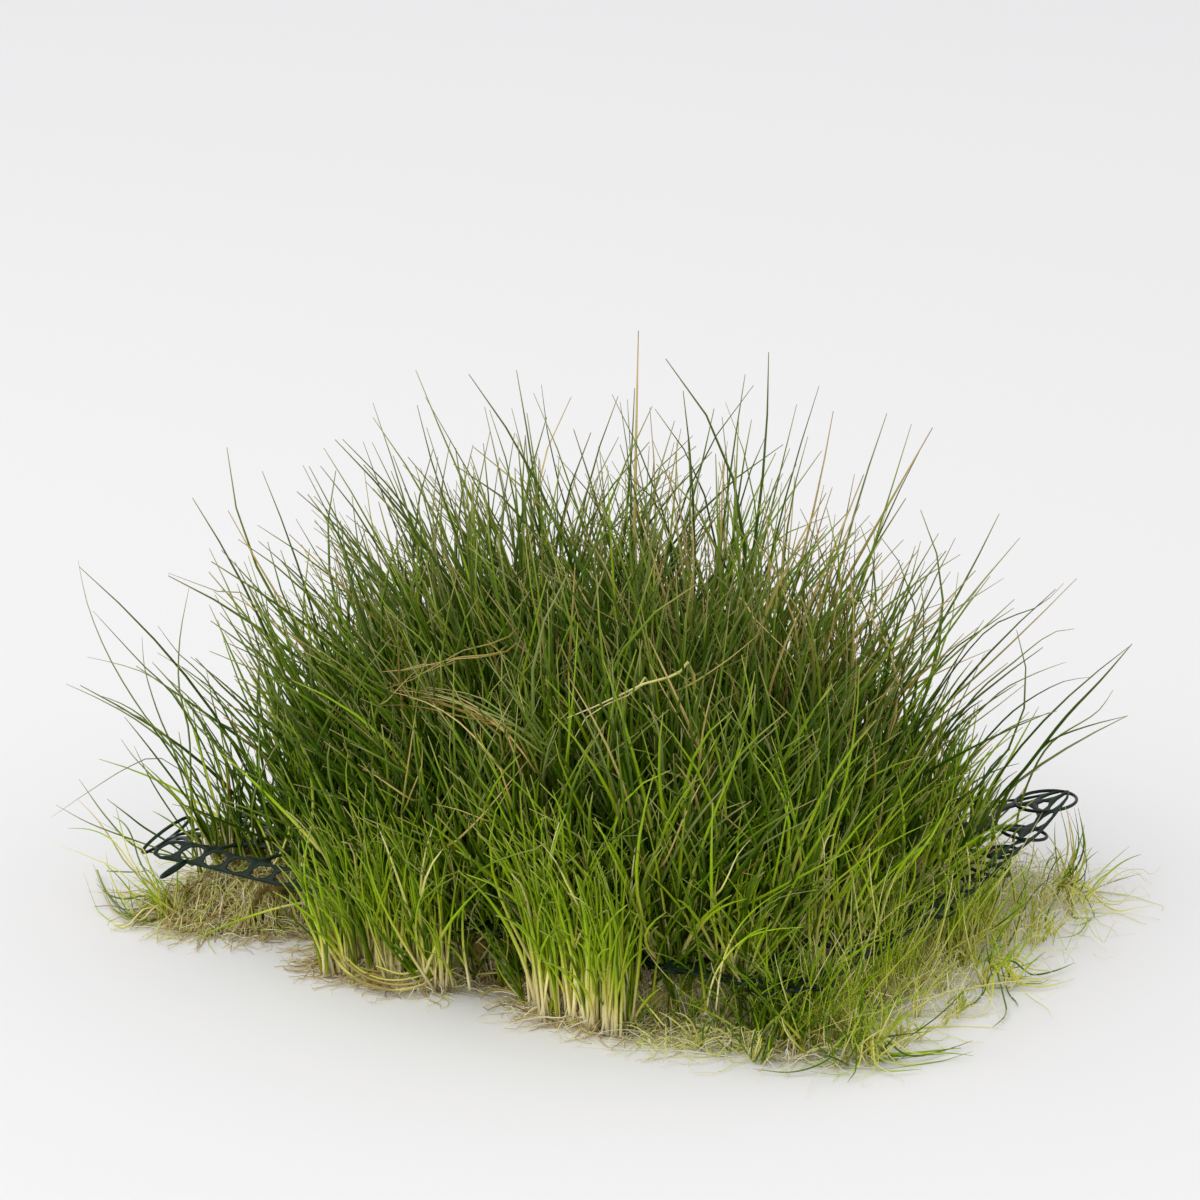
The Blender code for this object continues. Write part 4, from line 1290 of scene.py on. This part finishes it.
for seed, (name, (middle, routes)) in enumerate(SPRAYS.items(), start=5100):
    spray(name, middle, routes, seed)
print("sprays", len(SPRAYS))

# %% [markdown]
# ## The plastic mat
#
# The mat is sold for greening walls and stones: filament welded into a lattice, with a ladder along its rim
# and open rings outside it. It starts as a grid of faces, and the rim is an extrusion of its edge. A
# Wireframe modifier turns every edge into filament. A ring is a torus, one to every second opening, and at
# the two bare corners the rings stand where the photograph shows them. Subdivision Surface rounds it all.
# Bevelled curves would give rounder filament, but they only cross, where the real strands are welded.

# %% Filament mat
FILAMENT = 0.72
BORDER = 2.4
# The rings along the rim: their radius, half their filament's thickness and how far they tilt, and how much of
# the border's width and how far below the mat they lie.
RING_RADIUS, RING_FILAMENT, RING_TILT, RING_OUT, RING_BELOW = 3.6, 0.36, 0.16, 0.1, 0.4
MAT_RIPPLE = 0.5
# Rings of filament at the corners: the pixel of their middle, their level, their radius and their turns
# about X and Y.
CORNER_RINGS = [
    ((1046, 801), 16.2, 5.4, (0.06, -0.06)),
    ((1024, 833), 13.8, 4.0, (-0.10, 0.10)),
    ((1001, 852), 12.4, 2.8, (0.08, -0.08)),
    ((166, 835), 13.2, 5.0, (0.0, -0.78)),
    ((174, 869), 10.4, 2.6, (0.0, -0.70)),
]
BARE_CORNER_REACH = 24.0
# The border hangs down where the front of the mat is bare.
BORDER_HANG = 3.0


def select_edges(mesh, wanted):
    """Selects just the edges that wanted() says yes to."""
    bpy.ops.mesh.select_all(action="DESELECT")
    bpy.ops.mesh.select_mode(type="EDGE")
    bm = bmesh.from_edit_mesh(mesh)
    for edge in bm.edges:
        if wanted(edge):
            edge.select_set(True)
    bmesh.update_edit_mesh(mesh)


def along_rim(edge):
    """Whether an edge runs along the mat's rim, inside or outside it."""
    ends = zip(edge.verts[0].co / MM, edge.verts[1].co / MM, (HALF_LENGTH, HALF_WIDTH))
    return any(abs(a - b) < 0.01 and abs(a) > half - 0.1 for a, b, half in ends)


def ring_places():
    """The middle of each ring in mm, its radius and its turns: at the corners, then along the rim."""
    for pixel, level, radius, turns in CORNER_RINGS:
        yield on_level(*pixel, level), radius, turns
    out = RING_OUT * BORDER
    long_way = [(n * PITCH_X, side * (HALF_WIDTH + out)) for n in range(-6, 7, 2) for side in (-1, 1)]
    wide_way = [(side * (HALF_LENGTH + out), n * PITCH_Y) for n in range(-4, 5, 2) for side in (-1, 1)]
    for number, (x, y) in enumerate(long_way + wide_way):
        bare = min(math.dist((x, y), (side * HALF_LENGTH, side * HALF_WIDTH)) for side in (-1, 1))
        if bare > BARE_CORNER_REACH:
            tilt = RING_TILT * math.sin(2.3 * number)
            yield np.array([x, y, float(mat_level(x, y)) - RING_BELOW]), RING_RADIUS, (tilt, -tilt)


print("rings", len(list(ring_places())))


# %% Make the mat
def filament_mat():
    """The whole mat: the lattice, the ladder along its rim and the rings, as one mesh of filament."""
    mat = fresh_edit(bpy.ops.mesh.primitive_grid_add, x_subdivisions=OPENINGS_LONG,
                     y_subdivisions=OPENINGS_WIDE, size=1.0)
    mat.name = "polyethylene_mat"
    bpy.ops.transform.resize(value=(MAT_LENGTH * MM, MAT_WIDTH * MM, 1.0))
    select_edges(mat.data, lambda edge: edge.is_boundary)
    bpy.ops.mesh.extrude_edges_move()
    bpy.ops.transform.resize(value=(1.0 + 2 * BORDER / MAT_LENGTH, 1.0 + 2 * BORDER / MAT_WIDTH, 1.0),
                             center_override=(0.0, 0.0, 0.0))
    bpy.ops.object.mode_set(mode="OBJECT")
    bpy.ops.object.mode_set(mode="EDIT")
    select_edges(mat.data, along_rim)
    bpy.ops.mesh.subdivide(number_cuts=1)
    bm = bmesh.from_edit_mesh(mat.data)
    for vert in bm.verts:
        x, y = vert.co.x / MM, vert.co.y / MM
        ripple = MAT_RIPPLE * math.sin(0.21 * x + 0.6) * math.cos(0.27 * y - 0.4)
        hanging = BORDER_HANG * soft_step(-x, 14.0, 34.0) if y < -HALF_WIDTH - 0.1 else 0.0
        vert.co.z = (float(mat_level(x, y)) + ripple - hanging) * MM
    bmesh.update_edit_mesh(mat.data)
    bpy.ops.object.mode_set(mode="OBJECT")
    apply_modifier(mat, "WIREFRAME", thickness=FILAMENT * MM, use_replace=True, use_boundary=True,
                   use_even_offset=True)
    rings = []
    for place, radius, turns in ring_places():
        bpy.ops.object.select_all(action="DESELECT")
        bpy.ops.mesh.primitive_torus_add(major_segments=24, minor_segments=6, major_radius=radius * MM,
                                         minor_radius=RING_FILAMENT * MM, location=tuple(place * MM),
                                         rotation=(*turns, 0.0))
        rings.append(bpy.context.object)
    for thing in (mat, *rings):
        thing.select_set(True)
    bpy.context.view_layer.objects.active = mat
    bpy.ops.object.join()
    bpy.ops.object.transform_apply(location=True, rotation=True, scale=True)
    apply_modifier(mat, "SUBSURF", levels=1, render_levels=1)
    coat(mat, plastic)
    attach(mat, "root")
    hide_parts("filament_mat")
    return mat


mat = filament_mat()
print("mat faces", len(mat.data.polygons))

# %% [markdown]
# ## Blades that stand out
#
# Some blades are noticed one by one, so they are placed where the photograph shows them: long ones
# against the light at both ends, and dead straw-coloured ones that have fallen over the dome. A line of pixels
# becomes a line in space with the helpers of the camera cell, and its lower end is carried on down to a root
# in the mat or the felt. Drawing them over the photograph with the mouse would do as well, but a list of
# pixels can be run again when the dome changes.

# %% Placed blades
LEFT_DEPTH, RIGHT_DEPTH = -42.0, 38.0
# The long blades at the left end and at the right end, each from its tip down.
LEFT_BLADES = [
    [(78, 560), (88, 606), (110, 659), (143, 713), (179, 759)],
    [(93, 611), (140, 662), (179, 703)],
    [(87, 657), (122, 665), (153, 677), (179, 698), (194, 723)],
    [(66, 684), (97, 698), (138, 721), (179, 754), (194, 777)],
    [(97, 695), (122, 704), (153, 728)],
    [(189, 588), (180, 637), (179, 688), (189, 733)],
    [(142, 637), (145, 670), (158, 713), (173, 749)],
    [(158, 626), (179, 654), (212, 688)],
    [(168, 573), (222, 593), (255, 605)],
    [(121, 739), (133, 756), (153, 777), (179, 802)],
    [(134, 746), (153, 784), (173, 815)],
    [(79, 779), (107, 818), (138, 848)],
    [(56, 805), (89, 823), (128, 838)],
    [(107, 799), (128, 815), (145, 828)],
    [(41, 815), (77, 790), (128, 759), (163, 756)],
]
RIGHT_BLADES = [
    [(1132, 644), (1101, 680), (1065, 718), (1029, 764), (1009, 790)],
    [(1074, 629), (1050, 634), (1014, 662), (973, 698)],
    [(1064, 583), (1039, 606), (983, 634)],
    [(1004, 578), (948, 614), (909, 644)],
    [(1014, 608), (983, 629), (942, 662)],
    [(1066, 662), (1032, 675), (993, 698)],
    [(1093, 677), (1062, 682), (1024, 703), (996, 728)],
    [(1113, 690), (1096, 713), (1050, 744)],
    [(1127, 716), (1088, 726), (1050, 741), (1029, 764)],
    [(1057, 711), (1019, 723), (985, 745)],
]
# Each dead or bent blade has its kind, its radius, how many lie together there and its line.
BENT_BLADES = [
    (BROWN_TIP, 0.28, 5, [(376, 682), (409, 687), (436, 700), (477, 716), (507, 728), (531, 746), (535, 762)]),
    (STRAW, 0.22, 3, [(390, 690), (430, 694), (470, 708), (512, 738), (527, 760)]),
    (AGED, 0.26, 5, [(420, 690), (455, 700), (500, 722), (540, 752)]),
    (DRY_TIP, 0.24, 4, [(383, 672), (418, 668), (454, 658), (487, 655)]),
    (DRY_TIP, 0.22, 1, [(427, 663), (410, 676), (397, 690)]),
    (STRAW, 0.22, 1, [(529, 759), (506, 787), (482, 816), (470, 828)]),
    (DRY_TIP, 0.22, 1, [(432, 804), (456, 809), (482, 819)]),
    (DRY_TIP, 0.24, 1, [(496, 690), (506, 730), (528, 792)]),
    (PALE, 0.38, 1, [(567, 718), (606, 702), (638, 686), (660, 680)]),
    (PALE, 0.26, 1, [(574, 739), (590, 713), (618, 700)]),
    (PALE, 0.26, 1, [(541, 843), (556, 862), (570, 890)]),
    (DRY_TIP, 0.24, 1, [(519, 668), (518, 686), (524, 710)]),
    (DRY_TIP, 0.28, 1, [(358, 764), (379, 778), (399, 792)]),
    (DRY_TIP, 0.24, 2, [(418, 697), (411, 745), (405, 787)]),
    (STRAW, 0.24, 1, [(802, 671), (786, 650), (765, 629)]),
    (DRY_TIP, 0.24, 1, [(765, 629), (729, 659), (692, 684)]),
    (DRY_TIP, 0.26, 1, [(718, 668), (704, 725), (700, 760)]),
    (STRAW, 0.24, 1, [(715, 760), (692, 800), (672, 847)]),
    (FRESH, 0.24, 1, [(724, 709), (770, 762), (793, 817), (807, 868)]),
    (DRY_TIP, 0.20, 1, [(710, 773), (685, 728), (660, 684)]),
    (PALE, 0.22, 1, [(836, 834), (827, 838), (824, 850)]),
    (PALE, 0.18, 1, [(819, 829), (823, 840), (824, 852)]),
    (PALE, 0.24, 1, [(751, 839), (738, 854), (728, 876)]),
]
# Each of the blades that arch out at the front has its kind, its radius, its depth and its line.
FRONT_BLADES = [
    (YOUNG, 0.26, -53.0, [(427, 895), (409, 913), (402, 940), (400, 976)]),
    (YOUNG, 0.28, -53.0, [(479, 878), (465, 898), (463, 940), (470, 990)]),
    (YOUNG, 0.26, -53.0, [(303, 869), (324, 904), (342, 951), (350, 966)]),
    (DEEP, 0.18, -53.0, [(271, 898), (309, 933), (347, 966)]),
    (YOUNG, 0.26, -53.0, [(544, 910), (529, 913), (523, 928), (530, 1006)]),
    (YOUNG, 0.28, -53.0, [(557, 893), (575, 913), (583, 945), (588, 1018)]),
    (FRESH, 0.22, -50.0, [(664, 910), (704, 944), (743, 977), (800, 1038)]),
    (AGED, 0.14, -50.0, [(815, 890), (779, 898), (750, 920), (725, 949), (705, 990), (700, 1020)]),
    (YOUNG, 0.18, -50.0, [(804, 927), (766, 931), (738, 944), (715, 975), (705, 1015)]),
    (FRESH, 0.24, -50.0, [(761, 806), (722, 858), (682, 910), (660, 950), (652, 1000)]),
    (YOUNG, 0.18, -50.0, [(794, 883), (760, 905), (737, 930), (722, 965), (716, 1010)]),
    (FRESH, 0.22, -51.0, [(650, 800), (668, 850), (690, 905), (700, 960), (706, 1010)]),
]
print("lines of pixels", len(LEFT_BLADES) + len(RIGHT_BLADES) + len(BENT_BLADES) + len(FRONT_BLADES))

# %% From pixels to places
# How high on the dome a fallen blade lies, and where its line of sight is followed, as y.
DRAPE, NEAREST, FURTHEST, SIGHT_STEPS = 0.91, -62.0, 60.0, 400
# How much of a stem's slope is left below the photograph's last pixel, and its least height there.
STEM_SLOPE, LEAST_STEM = 0.35, 8.0
# Placed blades are rooted at least this far inside the mat.
INSIDE_MAT = 3.0
# A bent blade goes on by the first two and in under the others by the second two: at its foot, then inside.
ON_FOOT, ON_INSIDE, IN_FOOT, IN_INSIDE = 3.0, 6.0, 3.0, 11.0
# How far copies of a blade turn, how large they are, and how far off they and their places are, in pixels.
COPY_TURN, COPY_SIZE, COPY_OFF, COPY_WAVER = 0.16, (0.45, 1.1), 4.0, 1.5


def on_dome(u, v):
    """The place where a pixel's line of sight first meets the outside of the dome."""
    way = sight(u, v)
    depths = np.linspace(NEAREST, FURTHEST, SIGHT_STEPS)
    places = EYE + way * ((depths - EYE[1]) / way[1])[:, None]
    dome = ROOT_LEVEL + (bulk_height(places[:, 0], places[:, 1]) - ROOT_LEVEL) * DRAPE
    return places[np.argmax(places[:, 2] < dome)]


def inside_mat(place):
    """The place, or the nearest one that is well inside the mat."""
    most = np.array([HALF_LENGTH, HALF_WIDTH]) - INSIDE_MAT
    return np.clip(place, -most, most)


def rooted(points):
    """The points from a root in the mat to the tip: the lowest one is carried on down, ever steeper."""
    points = np.array(points)[::-1]
    foot, tip = points[0], points[-1]
    slope = (tip - foot)[:2] / max(tip[2] - foot[2], LEAST_STEM)
    root = inside_mat(foot[:2] - slope * (foot[2] - ROOT_LEVEL) * STEM_SLOPE)
    way = (foot[:2] + root) / 2 + (root - foot[:2]) * 0.2
    return [np.append(root, ROOT_LEVEL), np.append(way, (ROOT_LEVEL + foot[2]) / 2), *points]


def sunk_in(points):
    """The points from a root to the tip of a bent blade, which goes on the way it lies and in under others."""
    points = np.array(points)[::-1]
    way = unit(points[0] - points[1])
    foot = points[0] + way * ON_FOOT - BACK * IN_FOOT
    inner = points[0] + way * ON_INSIDE - BACK * IN_INSIDE
    root = inside_mat(inner[:2] + way[:2] * ON_FOOT)
    return [np.append(root, ROOT_LEVEL), np.append((inner[:2] + root) / 2, (ROOT_LEVEL + inner[2]) / 2), inner,
            foot, *points]


print("the dome is met at", on_dome(600, 700).round(), "mm in the middle of the picture")


# %% Make the placed blades
def strewn(draw, copies, blade):
    """The blade's line of pixels, and copies of it that lie a little beside it."""
    yield blade
    for _ in range(copies - 1):
        pixels = np.array(blade, float)
        middle = pixels[draw.integers(len(pixels))]
        turn, size = draw.normal(0.0, COPY_TURN), draw.uniform(*COPY_SIZE)
        moved = (pixels - middle) @ (turned(turn) * size) + middle
        yield moved + draw.normal(0.0, COPY_OFF, 2) + draw.normal(0.0, COPY_WAVER, pixels.shape)


def placed_piece(name, seed, lines, kinds, radii):
    """One mesh of blades along those lines, each with its kind and its radius."""
    draw = np.random.default_rng(seed)
    spines = np.array([smooth_line(points, BENT_BLADE["count"]) for points in lines])
    strips = np.concatenate([chosen_strips(draw, {kind: 1.0}, 1) for kind in kinds])
    return grass_piece(name, [], [(spines, np.array(radii), strips)], draw, shape=BENT_BLADE)


def end_lines(blades, depth, drift):
    """Lines at a depth, each a little further forward or back than the last."""
    return [rooted([on_plane(u, v, depth + drift * (number % 4 - 1.5)) for u, v in blade])
            for number, blade in enumerate(blades)]


placed_piece("long_blades_left", 6101, end_lines(LEFT_BLADES, LEFT_DEPTH, 1.6),
             [AGED, DEEP, AGED] * (len(LEFT_BLADES) // 3), [0.2] * (len(LEFT_BLADES) - 1) + [0.1])
placed_piece("long_blades_right", 6102, end_lines(RIGHT_BLADES, RIGHT_DEPTH, 3.0),
             [DEEP, AGED] * (len(RIGHT_BLADES) // 2), [0.32] + [0.21] * (len(RIGHT_BLADES) - 1))
bend = np.random.default_rng(6203)
bent = [(kind, radius, line) for kind, radius, copies, blade in BENT_BLADES
        for line in strewn(bend, copies, blade)]
kinds, radii, lines = zip(*bent)
placed_piece("bent_blades", 6103, [sunk_in([on_dome(u, v) for u, v in line]) for line in lines], kinds, radii)
kinds, radii, depths, lines = zip(*FRONT_BLADES)
placed_piece("arching_blades", 6105, [[on_plane(u, v, depth) for u, v in line[::-1]]
                                      for depth, line in zip(depths, lines)], kinds, radii)
print("placed blades", len(LEFT_BLADES) + len(RIGHT_BLADES) + len(bent) + len(FRONT_BLADES))

# %% [markdown]
# ## Runners along the floor
#
# Runners and fallen blades lie on the floor and over the rim of the felt. Against a white floor each of them
# is noticed, so they are placed one by one as well. A pixel's line of sight is cut by a level plane, a little
# above the floor, where it was cut by an upright one for the blades.

# %% Runners
# Each runner has its kind, its radius and its places as a pixel and a level.
RUNNERS = [
    (AGED, 0.17, [(97, 870, 1.2), (105, 889, 1.0), (120, 907, 0.8), (143, 922, 0.8), (184, 935, 1.5)]),
    (YOUNG, 0.15, [(108, 889, 1.0), (133, 894, 1.6), (163, 899, 3.0)]),
    (AGED, 0.13, [(107, 871, 2.0), (133, 872, 2.6), (153, 870, 4.0)]),
    (YOUNG, 0.28, [(322, 902, 6.0), (290, 905, 6.4), (245, 918, 4.4), (209, 933, 2.6), (196, 941, 0.8)]),
    (STRAW, 0.24, [(484, 994, 1.0), (495, 989, 1.6), (520, 994, 1.4)]),
    (PALE, 0.24, [(435, 981, 2.0), (446, 973, 3.2), (458, 967, 4.0)]),
    (PALE, 0.26, [(452, 985, 1.0), (475, 975, 1.6), (510, 972, 3.0)]),
    (DRY_TIP, 0.34, [(879, 1029, 1.4), (888, 1009, 2.4), (911, 986, 3.4), (950, 967, 4.0)]),
    (PALE, 0.28, [(654, 1009, 1.0), (693, 1029, 0.8), (732, 1045, 0.8), (789, 1059, 0.8)]),
    (YOUNG, 0.26, [(789, 1059, 0.8), (837, 1045, 1.6), (888, 1054, 0.8), (961, 1048, 0.8)]),
    (YOUNG, 0.24, [(660, 1020, 1.0), (720, 1030, 2.0), (790, 1044, 1.2), (850, 1058, 0.6)]),
    (PALE, 0.26, [(330, 948, 5.2), (343, 968, 3.4), (366, 984, 1.8), (396, 990, 1.4), (428, 982, 2.4),
                  (440, 970, 3.4)]),
    (STRAW, 0.24, [(336, 958, 4.4), (352, 976, 2.6), (380, 988, 1.6), (410, 990, 1.4), (436, 978, 2.8)]),
    (PALE, 0.20, [(340, 950, 5.0), (360, 970, 3.4), (388, 980, 2.6), (420, 976, 3.2), (446, 962, 4.2)]),
    (STRAW, 0.26, [(345, 962, 4.2), (368, 978, 2.8), (398, 985, 2.2), (424, 981, 2.8)]),
    (PALE, 0.22, [(376, 966, 4.2), (402, 974, 3.4), (430, 968, 4.0), (452, 972, 3.2), (470, 980, 2.0)]),
    (STRAW, 0.20, [(350, 978, 2.4), (372, 974, 3.2), (400, 984, 2.0), (430, 978, 2.8)]),
    (STRAW, 0.20, [(352, 966, 3.4), (385, 972, 2.6), (415, 964, 3.8), (440, 974, 2.2)]),
    (STRAW, 0.20, [(545, 1008, 2.4), (580, 1016, 1.8), (612, 1012, 2.6), (636, 1014, 1.6)]),
]
kinds, radii, lines = zip(*RUNNERS)
placed = placed_piece("lying_runners", 6104, [[on_level(*place) for place in line] for line in lines],
                      kinds, radii)
print("runners", len(RUNNERS))

# %% [markdown]
# ## Floor, light and camera
#
# The plant lies on a plain pale floor under soft light from all round, with one large lamp above the front
# left, so its shadow is only a faint darkening at its foot. A ring of lamps would do the same with more to set;
# an even world needs one number. The camera stands where the first cells put it.

# %% Stage
FLOOR_SIDE, WORLD_STRENGTH = 12.0, 0.92
# The lamp's place and side in metres, its power in watts, and the height of the place it looks at.
LAMP_PLACE, LAMP_SIDE, LAMP_POWER, LOOKED_AT = (-0.45, -0.9, 1.35), 1.4, 10.0, 0.04
bpy.ops.object.select_all(action="DESELECT")
bpy.ops.mesh.primitive_plane_add(size=FLOOR_SIDE, location=(0.0, 0.0, 0.0))
floor = bpy.context.object
floor.name = "floor"
board, _, board_shader = new_material("matt_white_board", 0.9, 1.4)
board_shader.inputs["Base Color"].default_value = linear("#eae8e7")
floor.data.materials.append(board)

world = bpy.data.worlds.new("soft_light")
bpy.context.scene.world = world
world.use_nodes = True
sky = world.node_tree.nodes["Background"].inputs
sky["Color"].default_value, sky["Strength"].default_value = linear("#fbfcff"), WORLD_STRENGTH

print("floor", floor.name, "and world", world.name)

# %% Lamp and camera
light = bpy.data.lights.new("lamp_above", "AREA")
light.energy, light.size = LAMP_POWER, LAMP_SIDE
lamp = bpy.data.objects.new("lamp_above", light)
bpy.context.scene.collection.objects.link(lamp)
lamp.location = LAMP_PLACE
lamp.rotation_euler = (Vector((0, 0, LOOKED_AT)) - Vector(LAMP_PLACE)).to_track_quat("-Z", "Y").to_euler()

camera = bpy.data.objects.new("camera", bpy.data.cameras.new("camera"))
bpy.context.scene.collection.objects.link(camera)
camera.data.lens, camera.data.sensor_width = LENS, SENSOR
camera.location = Vector(EYE) * MM
camera.rotation_mode = "QUATERNION"
camera.rotation_quaternion = Vector(-BACK).to_track_quat("-Z", "Y")
camera.data.clip_start, camera.data.clip_end = 0.05, 50.0
bpy.context.scene.camera = camera
bpy.context.scene.view_settings.view_transform = "Standard"
print("camera at", [round(part / MM) for part in camera.location], "mm")

# %% [markdown]
# ## Sizes and the end
#
# The CAD model's box is printed at the end, in mm.

# %% Finish
print("CAD box", [round(v / MM, 1) for v in (*cad_low, *cad_high)])
